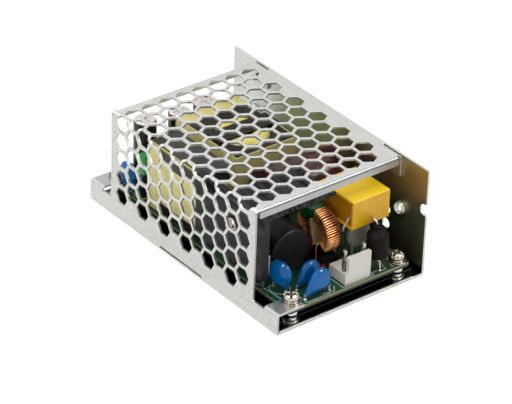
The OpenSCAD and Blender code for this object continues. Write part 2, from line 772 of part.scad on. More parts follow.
// Half section of a sleeved can with a rounded rim at the top and a beaded groove near the bottom
module can_section(d, h) {
    rim = d * 0.06;
    difference() {
        union() {
            square([d / 2, h - rim]);
            square([d / 2 - rim, h]);
            translate([d / 2 - rim, h - rim]) circle(rim);
        }
        translate([d / 2 + rim * 0.6, d * 0.22]) circle(rim);
        translate([-d, 0]) square([d, h]);
    }
}

module bulk_capacitor() color([0.25, 0.07, 0.09])
    translate([bulk_x, bulk_y0, bulk_z]) rotate([-90, 0, 0]) rotate_extrude() can_section(bulk_d, bulk_l);

// Leads that leave the capacitor's end and turn down into the board
module end_leads(spots, x_dir, end, z) for (s = spots) {
    lead(s, z + lead_d / 2);
    if (x_dir) translate([s[0], s[1], z]) rotate([0, 90, 0]) cylinder(d = lead_stub_d, h = end - s[0]);
    else translate([s[0], s[1], z]) rotate([-90, 0, 0]) cylinder(d = lead_stub_d, h = end - s[1]);
}

module bulk_capacitor_leads() color("silver") end_leads(bulk_spots, false, bulk_y0, bulk_z);

module primary_capacitor() color([0.09, 0.09, 0.1])
    translate([prim_x1 - prim_l, prim_y, prim_z]) rotate([0, 90, 0]) rotate_extrude() can_section(prim_d, prim_l);

module primary_capacitor_leads() color("silver") end_leads(prim_spots, true, prim_x1 - prim_l, prim_z);

module output_cans() color("silver") for (o = outs) translate([o[0], o[1], board_top])
    rotate_extrude() can_section(out_d - 2 * out_sleeve_t, out_h);

module output_capacitors() color([0.09, 0.09, 0.1]) for (o = outs) translate([o[0], o[1], board_top])
    linear_extrude(out_h - 0.8) difference() {
        circle(d = out_d);
        circle(d = out_d - 2 * out_sleeve_t);
    }

module output_capacitor_leads() color("silver") for (o = outs, s = out_spots(o)) lead(s, board_top);

// Common-mode choke: a ring core on edge, with its bore along Y

module choke_at() translate([choke_x, choke_y, choke_z]) rotate([90, 0, 0]) children();

module choke_core() color("green") choke_at() translate([0, 0, -ring_w / 2]) linear_extrude(ring_w) difference() {
    circle(d = ring_d);
    circle(d = ring_bore);
}

// Two half windings of square-cornered loops
module choke_windings() color("peru") choke_at() for (side = [0, 180], i = [0 : turns - 1])
    rotate(side + ring_turn - wound_arc / 2 + i * wound_arc / (turns - 1)) difference() {
        block(ring_bore / 2 - wind_gap - wire_d, wound_r, -wire_d / 2, wire_d / 2, -wound_w / 2, wound_w / 2);
        block(ring_bore / 2 - wind_gap, ring_d / 2 + wind_gap, -wire_d, wire_d,
            -ring_w / 2 - wind_gap, ring_w / 2 + wind_gap);
    }

module choke_divider() color("wheat") choke_at() rotate(ring_turn - 16)
    block(-0.45, 0.45, -ring_bore / 2 + 0.35, ring_bore / 2 - 0.35, -wound_w / 2 - 0.3, wound_w / 2 + 0.3);

module choke_base() color([0.07, 0.07, 0.08]) difference() {
    block(choke_x - choke_base_l / 2, choke_x + choke_base_l / 2, choke_y - wound_w / 2, choke_y + wound_w / 2,
        board_top, board_top + choke_base_h + 1.2);
    choke_at() cylinder(r = wound_r + wind_gap, h = 2 * wound_w, center = true);
}

module choke_pins() color("silver") for (s = choke_spots) lead(s, board_top - tiny);

// Mains parts

module line_capacitor() color([0.9, 0.75, 0.15]) difference() {
    along_y(box_y0, box_y0 + box_w) translate([box_x1 - box_l / 2, box_z + box_h / 2]) round_rect(box_l, box_h, 0.6);
    block(box_x1 - box_l + 0.8, box_x1 - 0.8, box_y0 - 1, box_y0 + 0.4, box_z + 0.8, box_z + box_h - 0.8);
}

// Leads out of the potted side: one bent down past the choke in two steps, one straight down behind it
module line_capacitor_leads() color("silver") {
    z = box_z + box_h / 2 - 1;
    out = [box_x1 - 1.7, box_y0 - 0.4, z];
    elbow = [out[0] - 1.1, box_y0 - 1.5, z - 3.8];
    foot = [box_spots[0][0], box_spots[0][1], board_top + 3];
    rod([out[0], box_y0 + 0.4, z], out - [0, 0.2, 0], lead_d);
    rod(out, elbow + [-0.07, -0.07, -0.24], lead_stub_d);
    rod(elbow, foot, lead_d);
    lead(box_spots[0], foot[2] + 0.2);
    lead(box_spots[1], z + lead_d / 2);
    translate([box_spots[1][0], box_spots[1][1], z]) rotate([-90, 0, 0])
        cylinder(d = lead_stub_d, h = box_y0 + 0.4 - box_spots[1][1]);
}

// Sleeved fuse with a shrunk neck at its upper end
module fuse() color([0.13, 0.12, 0.12]) translate([fuse_x, fuse_y, fuse_z]) rotate([fuse_lean, 0, 0])
    rotate_extrude() fuse_section();

// Half section with a rounded foot and a shoulder that falls in a smooth curve to the neck
module fuse_section() {
    foot = 1.2;
    r = fuse_d / 2;
    n = fuse_neck_d / 2;
    polygon(concat([[0, 0]], [for (a = [-90 : 18 : 0]) [r - foot + foot * cos(a), foot + foot * sin(a)]],
        [for (t = [0 : 0.1 : 1.01]) [n + (r - n) * (0.5 + 0.5 * cos(180 * t)), fuse_h + fuse_shoulder * t]],
        [[n, fuse_l], [0, fuse_l]]));
}

// One lead into the board below the body, one hooked over from the neck and down behind the body
module fuse_leads() color("silver") {
    low = [fuse_spots[0][0], fuse_spots[0][1], board_top + 0.6];
    rod(fuse_axis(0), fuse_axis(-1), lead_d);
    rod(fuse_axis(-0.8), low, lead_stub_d);
    lead(fuse_spots[0], low[2] + 0.3);
    apex = fuse_axis(fuse_l + 2.2);
    back = [hook_x, hook_y, hook_z];
    rod(fuse_axis(fuse_l), apex, lead_stub_d);
    rod(apex + [0.3, 0, -0.1], back, lead_d);
    lead(fuse_spots[1], hook_z + 0.35);
}

module thermistor() color([0.3, 0.3, 0.3]) difference() {
    translate([ntc_x, ntc_y, ntc_z]) rotate([0, 90, 0]) rotate_extrude() lens_section(ntc_d, ntc_t);
    for (s = ntc_spots) lead(s, ntc_lead_z);
}

// Half section of a coated disc with a rounded rim
module lens_section(d, t) {
    rim = t * 0.36;
    intersection() {
        translate([0, -t / 2]) square([d / 2, t]);
        union() {
            translate([0, -t / 2]) square([d / 2 - rim * 2.2, t]);
            polygon([[0, -t / 2], [d / 2 - rim * 2.2, -t / 2], [d / 2 - rim, -rim], [d / 2 - rim, rim],
                [d / 2 - rim * 2.2, t / 2], [0, t / 2]]);
            translate([d / 2 - rim, 0]) circle(rim);
        }
    }
}

module thermistor_leads() color("silver") for (s = ntc_spots) lead(s, ntc_lead_z);

// Dipped disc capacitors, with coating that runs down the leads
module disc_capacitors() color([0.1, 0.4, 0.8]) for (d = discs) difference() {
    disc_at(d) union() {
        translate([0, 0, d[5]]) rotate([0, 90, 0]) rotate_extrude() lens_section(disc_d, disc_t);
        for (s = [-1, 1]) translate([0, s * d[4] / 2, skirt_z])
            cylinder(d1 = lead_d + 0.5, d2 = disc_t * 0.6, h = skirt_h);
        along_x(-disc_t * 0.28, disc_t * 0.28)
            polygon([[-d[4] / 2 + 0.2, skirt_z + 0.6], [d[4] / 2 - 0.2, skirt_z + 0.6],
                [disc_d / 2 - 0.9, d[5] + 0.4], [-disc_d / 2 + 0.9, d[5] + 0.4]]);
    }
    for (s = disc_spots(d)) translate([s[0], s[1], 0]) cylinder(d = lead_d, h = board_top + skirt_z + 1.2);
}

skirt_z = 0.5;
skirt_h = 4;

module disc_at(d) translate([d[0], d[1], board_top]) rotate(d[2]) children();

module disc_capacitor_leads() color("silver") for (d = discs, s = disc_spots(d)) lead(s, board_top + skirt_z + 1.2);

// Film capacitors with rounded ends
module film_capacitors() for (f = films) color(f[1] > -10 ? [0.6, 0.1, 0.12] : [0.15, 0.6, 0.3])
    translate([f[0], f[1], board_top + 0.6]) linear_extrude(f[4]) round_rect(f[2], f[3], f[3] * 0.45);

module film_capacitor_leads() color("silver") for (f = films, s = film_spots(f)) lead(s, board_top + 0.6);

module mains_header() color("white") difference() {
    union() {
        block(header_x - header_d, header_x, header_y - header_w / 2, header_y + header_w / 2, board_top,
            board_top + header_h);
        wall_y0 = header_y - header_w / 2 + header_wall_inset;
        wall_top = board_top + header_wall_h;
        block(header_x - header_wall_t, header_x, wall_y0, header_y + header_w / 2, board_top, wall_top);
        block(header_x - header_wall_t - 0.5, header_x - header_wall_t + 0.1, wall_y0, header_y + header_w / 2 - 0.8,
            wall_top - 1.6, wall_top - 0.7);
    }
    for (s = pin_spots) pin(s, pin_w + 2 * lead_gap, board_top + header_h + 1);
}

module mains_pins() color("gainsboro") for (s = pin_spots) pin(s, pin_w, board_top + pin_h);

module output_header() color("white") difference() {
    w = out_header_n * pin_pitch;
    union() {
        block(out_header_x, out_header_x + out_header_d, out_header_y - w / 2, out_header_y + w / 2, board_top,
            board_top + header_h);
        block(out_header_x, out_header_x + header_wall_t, out_header_y - w / 2, out_header_y + w / 2, board_top,
            board_top + header_wall_h);
    }
    for (s = out_pin_spots) pin(s, pin_w + 2 * lead_gap, board_top + header_h + 1);
}

module output_pins() color("gainsboro") for (s = out_pin_spots) pin(s, pin_w, board_top + pin_h);

chassis();
cover();
cover_screws();
floor_insulator();
board_standoffs();
circuit_board();
flat_washers();
spring_washers();
board_screws();
heatsink();
heatsink_screw();
heatsink_foot();
transistor();
transistor_tab();
transistor_leads();
transformer_core();
transformer_winding();
transformer_tape();
transformer_bobbin();
transformer_pins();
inductor_core();
inductor_winding();
inductor_tape();
inductor_bobbin();
inductor_pins();
bulk_capacitor();
bulk_capacitor_leads();
primary_capacitor();
primary_capacitor_leads();
choke_core();
choke_windings();
choke_divider();
choke_base();
choke_pins();
line_capacitor();
line_capacitor_leads();
fuse();
fuse_leads();
thermistor();
thermistor_leads();
disc_capacitors();
disc_capacitor_leads();
film_capacitors();
film_capacitor_leads();
mains_header();
mains_pins();
output_capacitors();
output_cans();
output_capacitor_leads();
output_header();
output_pins();
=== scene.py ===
import bmesh
import bpy
import numpy as np
from mathutils import Matrix, Vector


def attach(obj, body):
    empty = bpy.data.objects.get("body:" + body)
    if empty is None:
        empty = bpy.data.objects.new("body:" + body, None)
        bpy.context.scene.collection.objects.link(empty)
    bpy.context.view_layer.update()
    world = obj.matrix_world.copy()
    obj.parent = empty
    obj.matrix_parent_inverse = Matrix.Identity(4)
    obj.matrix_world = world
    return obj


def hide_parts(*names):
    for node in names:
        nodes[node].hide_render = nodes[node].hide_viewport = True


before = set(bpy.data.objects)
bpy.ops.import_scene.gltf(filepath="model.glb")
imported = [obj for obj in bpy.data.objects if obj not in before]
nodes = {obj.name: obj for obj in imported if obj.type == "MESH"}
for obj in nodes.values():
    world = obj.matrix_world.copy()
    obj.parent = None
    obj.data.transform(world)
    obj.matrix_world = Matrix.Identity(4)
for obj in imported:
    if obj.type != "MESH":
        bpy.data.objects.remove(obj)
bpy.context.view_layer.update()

mm = 0.001
mergeGap = 1e-7  # metres between points that are taken as one
print("frame loaded,", len(nodes), "nodes")


# helpers for node trees

def tone(r, g, b):
    # 0 to 255 as seen on screen, turned into linear light
    c = np.array([r, g, b], float) / 255
    lin = np.where(c <= 0.04045, c / 12.92, ((c + 0.055) / 1.055) ** 2.4)
    return (float(lin[0]), float(lin[1]), float(lin[2]), 1.0)


class Wiring:
    # a node tree, with short ways to add nodes and link them
    def __init__(self, tree):
        self.tree = tree

    def node(self, kind, **values):
        node = self.tree.nodes.new(kind)
        for key, value in values.items():
            setattr(node, key, value)
        return node

    def join(self, out, into):
        self.tree.links.new(out, into)

    def calc(self, operation, a, b=None):
        # one sum on sockets or plain numbers
        node = self.node("ShaderNodeMath", operation=operation)
        for i, value in enumerate((a, b)):
            if isinstance(value, (int, float)):
                node.inputs[i].default_value = value
            elif value is not None:
                self.join(value, node.inputs[i])
        return node.outputs[0]

    def times(self, a, b):
        return self.calc("MULTIPLY", a, b)

    def above(self, value, limit):
        return self.calc("GREATER_THAN", value, limit)

    def below(self, value, limit):
        return self.calc("LESS_THAN", value, limit)

    def away(self, value, middle):
        # distance of a value from a middle, without its sign
        return self.calc("ABSOLUTE", self.calc("SUBTRACT", value, middle))

    def length(self, a, b):
        # length of the long side of a right triangle
        return self.calc("SQRT", self.calc("ADD", self.times(a, a), self.times(b, b)))

    def spread(self, value, low, high, toLow=0.0, toHigh=1.0, smooth=False):
        # moves a range of values to another range, clamped at both ends
        node = self.node("ShaderNodeMapRange")
        node.interpolation_type = "SMOOTHSTEP" if smooth else "LINEAR"
        self.join(value, node.inputs["Value"])
        for key, number in (("From Min", low), ("From Max", high), ("To Min", toLow), ("To Max", toHigh)):
            node.inputs[key].default_value = number
        return node.outputs["Result"]

    def blend(self, mask, first, second):
        # mixes two colours, each a socket or a plain colour, by a mask
        node = self.node("ShaderNodeMix", data_type="RGBA")
        self.join(mask, node.inputs["Factor"])
        for label, value in (("A", first), ("B", second)):
            socket = [s for s in node.inputs if s.name == label and s.type == "RGBA"][0]
            if isinstance(value, tuple):
                socket.default_value = value
            else:
                self.join(value, socket)
        return [s for s in node.outputs if s.type == "RGBA"][0]

    def place(self, group, **values):
        # puts a shared group into this tree
        node = self.node("ShaderNodeGroup", node_tree=group)
        for key, value in values.items():
            node.inputs[key].default_value = value
        return node

    def split(self, socket):
        # a vector's x, y and z
        parts = self.node("ShaderNodeSeparateXYZ")
        self.join(socket, parts.inputs[0])
        return parts.outputs

    def axes(self):
        # object place in metres
        return self.split(self.node("ShaderNodeTexCoord").outputs["Object"])


def newGroup(name, inputs, outputs):
    # an empty shared group, with the two nodes that stand for its sockets
    group = bpy.data.node_groups.new(name, "ShaderNodeTree")
    for label, default in inputs:
        socket = group.interface.new_socket(label, in_out="INPUT", socket_type="NodeSocketFloat")
        socket.default_value = default
    for label in outputs:
        group.interface.new_socket(label, in_out="OUTPUT", socket_type="NodeSocketFloat")
    w = Wiring(group)
    return w, w.node("NodeGroupInput"), w.node("NodeGroupOutput")


# stage: camera, floor, world, lamps

stageSet = {
    "sensor": 36.0,
    "lens": 207.76,
    "eye": (0.656370, -0.529643, 0.532203),
    "right": (0.614164, 0.788656, 0.028732),
    "up": (-0.428689, 0.302831, 0.851187),
    "back": (0.662592, -0.535085, 0.524076),
    "floorSize": 8.0,
    "floorZ": -0.0002,
    "floorGrey": 0.9,
    "floorRough": 0.85,
    "floorShine": 0.1,
    "floorGlow": 0.35,
    "worldLight": 0.5,
}
caseMiddle = (0, 0, 0.02)
openEnd = (0.04, 0, 0.015)
# name: place, aim, width and height, watts, seen in reflections only
lampSet = {
    "topSoftbox": ((-0.2, -0.1, 0.8), caseMiddle, (1.1, 1.1), 6.2, False),
    "leftSoftbox": ((-0.1, -0.9, 0.45), caseMiddle, (0.8, 0.6), 1.1, False),
    "frontFill": ((0.9, 0.15, 0.35), caseMiddle, (0.6, 0.5), 0.6, False),
    "sparkRight": ((0.53, 0.38, 0.64), openEnd, (0.2, 0.2), 7.0, True),
    "sparkLeft": ((0.225, -0.58, 0.69), openEnd, (0.2, 0.2), 5.0, True),
}


def addCamera(s):
    cam = bpy.data.cameras.new("viewCamera")
    cam.sensor_width = s["sensor"]
    cam.lens = s["lens"]
    eye = bpy.data.objects.new("viewCamera", cam)
    turn = Matrix((s["right"], s["up"], s["back"])).transposed()
    eye.matrix_world = Matrix.Translation(s["eye"]) @ turn.to_4x4()
    bpy.context.scene.collection.objects.link(eye)
    bpy.context.scene.camera = eye


def addFloor(s):
    # a pale matt floor that glows where the camera or a reflection sees it
    half = s["floorSize"] / 2
    corners = [(x, y, s["floorZ"]) for x, y in ((-half, -half), (half, -half), (half, half), (-half, half))]
    mesh = bpy.data.meshes.new("studioFloor")
    mesh.from_pydata(corners, [], [(0, 1, 2, 3)])
    floor = bpy.data.objects.new("studioFloor", mesh)
    bpy.context.scene.collection.objects.link(floor)
    paint = bpy.data.materials.new("floorPaint")
    paint.use_nodes = True
    w = Wiring(paint.node_tree)
    shader = w.tree.nodes["Principled BSDF"]
    shader.inputs["Base Color"].default_value = (s["floorGrey"], s["floorGrey"], s["floorGrey"], 1)
    shader.inputs["Roughness"].default_value = s["floorRough"]
    shader.inputs["Specular IOR Level"].default_value = s["floorShine"]
    shader.inputs["Emission Color"].default_value = (1, 1, 1, 1)
    path = w.node("ShaderNodeLightPath")
    seen = w.calc("MAXIMUM", path.outputs["Is Camera Ray"], path.outputs["Is Glossy Ray"])
    w.join(w.times(seen, s["floorGlow"]), shader.inputs["Emission Strength"])
    mesh.materials.append(paint)


def addWorld(s):
    # white where it is seen, dimmer where it only lights
    world = bpy.data.worlds.new("studioWorld")
    bpy.context.scene.world = world
    world.use_nodes = True
    w = Wiring(world.node_tree)
    sky = w.tree.nodes["Background"]
    sky.inputs["Color"].default_value = (1, 1, 1, 1)
    path = w.node("ShaderNodeLightPath")
    seen = w.calc("MAXIMUM", path.outputs["Is Camera Ray"], path.outputs["Is Glossy Ray"])
    seen = w.calc("MAXIMUM", seen, path.outputs["Is Transmission Ray"])
    w.join(w.spread(seen, 0, 1, s["worldLight"], 1.0), sky.inputs["Strength"])
    bpy.context.scene.view_settings.view_transform = "Standard"


def addLamp(name, spot, aim, size, watts, glossOnly):
    lamp = bpy.data.lights.new(name, "AREA")
    lamp.shape = "RECTANGLE"
    lamp.size, lamp.size_y = size
    lamp.energy = watts
    obj = bpy.data.objects.new(name, lamp)
    obj.location = spot
    obj.rotation_euler = (Vector(aim) - Vector(spot)).to_track_quat("-Z", "Y").to_euler()
    obj.visible_diffuse = not glossOnly
    bpy.context.scene.collection.objects.link(obj)


addCamera(stageSet)
addFloor(stageSet)
addWorld(stageSet)
for name, lamp in lampSet.items():
    addLamp(name, *lamp)
print("stage set")


# shared effects

def makeGrain():
    # noise at two scales: broad clouds and a finer mottle
    w, into, out = newGroup("surfaceGrain", [("Scale", 400.0), ("Detail", 3.0)], ["Cloud", "Mottle"])
    coord = w.node("ShaderNodeTexCoord")
    for label, factor in (("Cloud", 0.12), ("Mottle", 1.0)):
        noise = w.node("ShaderNodeTexNoise")
        w.join(coord.outputs["Object"], noise.inputs["Vector"])
        w.join(w.times(into.outputs["Scale"], factor), noise.inputs["Scale"])
        w.join(into.outputs["Detail"], noise.inputs["Detail"])
        w.join(noise.outputs[0], out.inputs[label])
    return w.tree


def makeStreaks():
    # long thin noise: a place squeezed along one direction, as drawn or rolled stock shows
    inputs = [("Along X", 60.0), ("Along Y", 900.0), ("Along Z", 900.0)]
    w, into, out = newGroup("drawnStreaks", inputs, ["Streak", "Scratch"])
    spot = w.axes()
    pack = w.node("ShaderNodeCombineXYZ")
    for i in range(len(inputs)):
        w.join(w.times(spot[i], into.outputs[i]), pack.inputs[i])
    noise = w.node("ShaderNodeTexNoise")
    w.join(pack.outputs[0], noise.inputs["Vector"])
    noise.inputs["Scale"].default_value = 1.0
    noise.inputs["Detail"].default_value = 4.0
    w.join(noise.outputs[0], out.inputs["Streak"])
    w.join(w.spread(noise.outputs[0], 0.66, 0.72), out.inputs["Scratch"])
    return w.tree


grain = makeGrain()
streaks = makeStreaks()
# streaks of each stock: few per metre along them, many across
streakSet = {
    "rolledSheet": {"Along X": 40.0, "Along Y": 700.0, "Along Z": 700.0},
    "drawnAngle": {"Along X": 45.0, "Along Y": 900.0, "Along Z": 900.0},
    "tapeAlongX": {"Along X": 20.0, "Along Y": 500.0, "Along Z": 900.0},
    "tapeRound": {"Along X": 60.0, "Along Y": 60.0, "Along Z": 1500.0},
}
print("shared effects made")


# finishes; places in them are in metres

finishSet = {
    # mottle over which the roughness goes from its low value to its high one
    "mottleRange": (0.3, 0.7),
    "bevelSamples": 4,
    # cosine between the rounded and the flat normal, from where an edge begins to where it is full
    "edgeCosine": (0.985, 0.8),
    "creviceSamples": 6,
    # openness, from a full crevice to a fully open surface
    "openRange": (0.3, 0.85),
}


class Finish(Wiring):
    # a material with its shader and grain group ready to wire: rough is its lowest and highest roughness,
    # scale and detail are the grain's, and fixed holds plain values of the shader
    def __init__(self, name, rough, metal, scale, detail, **fixed):
        self.mat = bpy.data.materials.new(name)
        self.mat.use_nodes = True
        super().__init__(self.mat.node_tree)
        self.shader = self.tree.nodes["Principled BSDF"]
        self.shader.inputs["Metallic"].default_value = metal
        for key, value in fixed.items():
            self.shader.inputs[key.replace("_", " ")].default_value = value
        noise = self.place(grain, Scale=scale, Detail=detail)
        self.cloud = noise.outputs["Cloud"]
        self.mottle = noise.outputs["Mottle"]
        self.feed("Roughness", self.spread(self.mottle, *finishSet["mottleRange"], *rough))

    def feed(self, key, socket):
        self.join(socket, self.shader.inputs[key])

    def colour(self, socket):
        self.feed("Base Color", socket)

    def cloudy(self, dark, light, low=0.35, high=0.65, broad=0.4):
        # colour that drifts between two tones with the clouds and the mottle; broad is the clouds' share
        both = self.calc("ADD", self.times(self.cloud, broad), self.times(self.mottle, 1 - broad))
        return self.blend(self.spread(both, low, high), dark, light)

    def rounded(self, radius):
        # the normal as it would be on edges rounded by a radius
        soft = self.node("ShaderNodeBevel", samples=finishSet["bevelSamples"])
        soft.inputs["Radius"].default_value = radius
        return soft.outputs[0]

    def bump(self, height, depth, strength, edge=0.0):
        # ends a finish: fine relief, over rounded edges where a radius is given
        node = self.node("ShaderNodeBump")
        node.inputs["Strength"].default_value = strength
        node.inputs["Distance"].default_value = depth
        self.join(height, node.inputs["Height"])
        if edge:
            self.join(self.rounded(edge), node.inputs["Normal"])
        self.feed("Normal", node.outputs[0])
        return self.mat

    def edgeMask(self, radius):
        # 1 where the rounded normal leaves the flat one, along edges
        dot = self.node("ShaderNodeVectorMath", operation="DOT_PRODUCT")
        self.join(self.rounded(radius), dot.inputs[0])
        self.join(self.node("ShaderNodeNewGeometry").outputs["True Normal"], dot.inputs[1])
        return self.spread(dot.outputs["Value"], *finishSet["edgeCosine"])

    def openMask(self, reach):
        # 0 in crevices, 1 on open surfaces
        near = self.node("ShaderNodeAmbientOcclusion", samples=finishSet["creviceSamples"])
        near.inputs["Distance"].default_value = reach
        return self.spread(near.outputs["AO"], *finishSet["openRange"])

    def facing(self, kind="True Normal"):
        # the normal's x, y and z: the flat one, or the smooth one where that is asked for
        return self.split(self.node("ShaderNodeNewGeometry").outputs[kind])

    def lineAt(self, value, middle, half):
        # a thin soft line where a value passes its middle
        return self.spread(self.away(value, middle), half * 0.5, half, 1.0, 0.0)


def steelBase(f):
    # zinc plated sheet: pale grey with a fine mottle, faint rolling streaks and a painted highlight along its
    # edges
    roll = f.place(streaks, **streakSet["rolledSheet"])
    base = f.cloudy(tone(166, 167, 164), tone(199, 200, 197), 0.34, 0.66, 0.12)
    base = f.blend(f.spread(roll.outputs["Streak"], 0.45, 0.75, 0, 0.3), base, tone(198, 199, 196))
    # painted highlight along the edges
    return f.blend(f.times(f.edgeMask(0.0003), 0.85), base, tone(240, 240, 237))


coverSet = {
    # painted shadow line on both lips
    "shadowLineZ": 0.03905,
    "shadowLineHalf": 0.00018,
    "lipX": 0.0384,
    # where the front end's painted shade and the rear lip's painted light begin, and the height that the low
    # tabs' painted shade stays under
    "frontX": 0.036,
    "rearX": -0.03,
    "tabZ": 0.014,
}


def makeCoverSteel(s):
    # the cover, with a painted shadow line along both lips below the fold;
    # the faces towards the front end and the low tabs have painted shade, darker than the rest,
    # the front fold more so, where it dims a lamp's reflection, and the inside of the rear lip has painted
    # light, pale and matt
    f = Finish("coverSteel", (0.36, 0.5), 1.0, 1700.0, 4.0)
    spot = f.axes()
    normal = f.facing()
    lips = f.above(f.calc("ABSOLUTE", spot[0]), s["lipX"])
    line = f.times(f.lineAt(spot[2], s["shadowLineZ"], s["shadowLineHalf"]), lips)
    forward = f.spread(normal[0], 0.6, 0.8)
    front = f.above(spot[0], s["frontX"])
    ends = f.times(forward, front)
    foldShade = f.times(f.spread(normal[0], 0.2, 0.5), f.spread(normal[2], 0.05, 0.2))
    foldShade = f.times(foldShade, front)
    low = f.times(f.spread(normal[2], 0.6, 0.8), f.below(spot[2], s["tabZ"]))
    # painted shade on the faces towards the front end and on the low tabs
    base = f.blend(f.times(f.calc("MAXIMUM", ends, low), 0.5), steelBase(f), tone(138, 141, 142))
    # darker painted shade on the front fold, which dims a lamp's reflection there
    base = f.blend(foldShade, base, tone(116, 118, 118))
    # painted light on the inside of the rear lip: pale and less metallic
    rear = f.times(forward, f.below(spot[0], s["rearX"]))
    base = f.blend(rear, base, tone(248, 248, 246))
    f.feed("Metallic", f.spread(rear, 0, 1, 1.0, 0.1))
    # painted shadow line along both lips below the fold
    f.colour(f.blend(f.times(line, 0.75), base, tone(96, 98, 97)))
    return f.bump(f.mottle, 0.00002, 0.35, 0.00015)


chassisSet = {
    # along X: where the painted olive reflection fades in, and where the painted reflection under the cover
    # begins and ends
    "reflectionTintX": (-0.028, 0.005),
    "reflectionRear": (-0.031, -0.017),
    "reflectionFront": (0.014, 0.002),
    # heights: the top of the painted reflection under the cover, and those over which the painted shade at
    # the wall's foot comes in
    "reflectionTop": 0.0385,
    "footShadeZ": (0.024, 0.012),
    # the slit over the tongue, where shadow is painted, and the corner beside the film, painted dark
    "slitY": -0.0296,
    "cornerY": 0.0262,
    "cornerZ": (0.0034, 0.0024),
}


def makeChassisSteel(s):
    # the chassis: a painted olive reflection of the yellow parts on the inner face of its wall, painted shade
    # at its foot, a paler painted reflection under the cover, painted shadow in the slit over the tongue, and
    # dark in the corner beside the film
    f = Finish("chassisSteel", (0.3, 0.44), 1.0, 1700.0, 4.0)
    spot = f.axes()
    normal = f.facing()
    inner = f.times(f.spread(normal[1], -0.4, -0.6), f.above(spot[1], 0.0))
    # painted olive reflection of the yellow parts on the inner face of the wall
    front = f.times(inner, f.spread(spot[0], *s["reflectionTintX"], 0.0, 0.85))
    base = f.blend(front, steelBase(f), tone(182, 168, 124))
    # painted shade towards the wall's foot
    foot = f.times(front, f.spread(spot[2], *s["footShadeZ"], 0.0, 0.5))
    base = f.blend(foot, base, tone(84, 82, 70))
    # paler painted olive reflection under the cover, less metallic
    covered = f.times(f.spread(spot[0], *s["reflectionRear"]), f.below(spot[2], s["reflectionTop"]))
    coveredReflection = f.times(f.times(inner, f.spread(spot[0], *s["reflectionFront"])), covered)
    base = f.blend(f.times(coveredReflection, 0.9), base, tone(202, 211, 154))
    f.feed("Metallic", f.spread(coveredReflection, 0, 1, 1.0, 0.35))
    # painted shadow in the slit over the tongue, and dark in the corner beside the film
    slitShadow = f.times(f.below(spot[1], s["slitY"]), f.spread(normal[2], 0.4, 0.6))
    inward = f.spread(f.calc("SUBTRACT", normal[2], normal[1]), 0.2, 0.4)
    corner = f.times(f.above(spot[1], s["cornerY"]), f.spread(spot[2], *s["cornerZ"]))
    slitShadowAndCorner = f.calc("MAXIMUM", slitShadow, f.times(inward, corner))
    f.colour(f.blend(slitShadowAndCorner, base, tone(14, 13, 12)))
    return f.bump(f.mottle, 0.00002, 0.35, 0.00015)


def makePlated(name, dark, light, rough, creviceShade):
    # plated fasteners and leads: bright metal with a slight cast, with painted shade in recesses and between
    # washers
    f = Finish(name, rough, 1.0, 900.0, 2.0)
    f.colour(f.blend(f.openMask(0.0009), creviceShade, f.cloudy(dark, light)))
    return f.bump(f.mottle, 0.000004, 0.3, 0.0001)


def makeStandoff(grooveZ, grooveHalf):
    # bright turned standoff with a painted shadow line at the groove above its clinched foot
    f = Finish("standoff", (0.12, 0.22), 1.0, 900.0, 2.0)
    base = f.cloudy(tone(196, 196, 194), tone(222, 222, 220))
    f.colour(f.blend(f.lineAt(f.axes()[2], grooveZ, grooveHalf), base, tone(16, 16, 17)))
    return f.bump(f.mottle, 0.000004, 0.3, 0.0001)


def makeBoxLead(shadeTop):
    # a tinned lead, with painted shade from the base up to a height
    f = Finish("boxLead", (0.26, 0.4), 1.0, 900.0, 2.0)
    z = f.axes()[2]
    leadShade = f.times(f.above(z, 0.0), f.below(z, shadeTop))
    f.colour(f.blend(leadShade, f.cloudy(tone(172, 166, 156), tone(208, 203, 194)), tone(74, 69, 62)))
    return f.bump(f.mottle, 0.000004, 0.3)


def makeSmooth(name, dark, light, rough, scale, depth, shine):
    # moulded, dipped or coated surface: two near tones, uneven gloss and a fine grain
    f = Finish(name, rough, 0.0, scale, 3.0, Specular_IOR_Level=shine)
    f.colour(f.cloudy(dark, light))
    return f.bump(f.mottle, depth, 0.5, 0.0001)


def makeFilm(creaseX, creaseHalf):
    # glossy black film with a worn crease a little behind its front edge
    f = Finish("blackFilm", (0.08, 0.16), 0.0, 200.0, 2.0, Specular_IOR_Level=0.3)
    crease = f.lineAt(f.axes()[0], creaseX, creaseHalf)
    f.colour(f.blend(crease, f.cloudy(tone(6, 6, 8), tone(12, 12, 13)), tone(120, 120, 118)))
    return f.bump(f.mottle, 0.00002, 0.5)


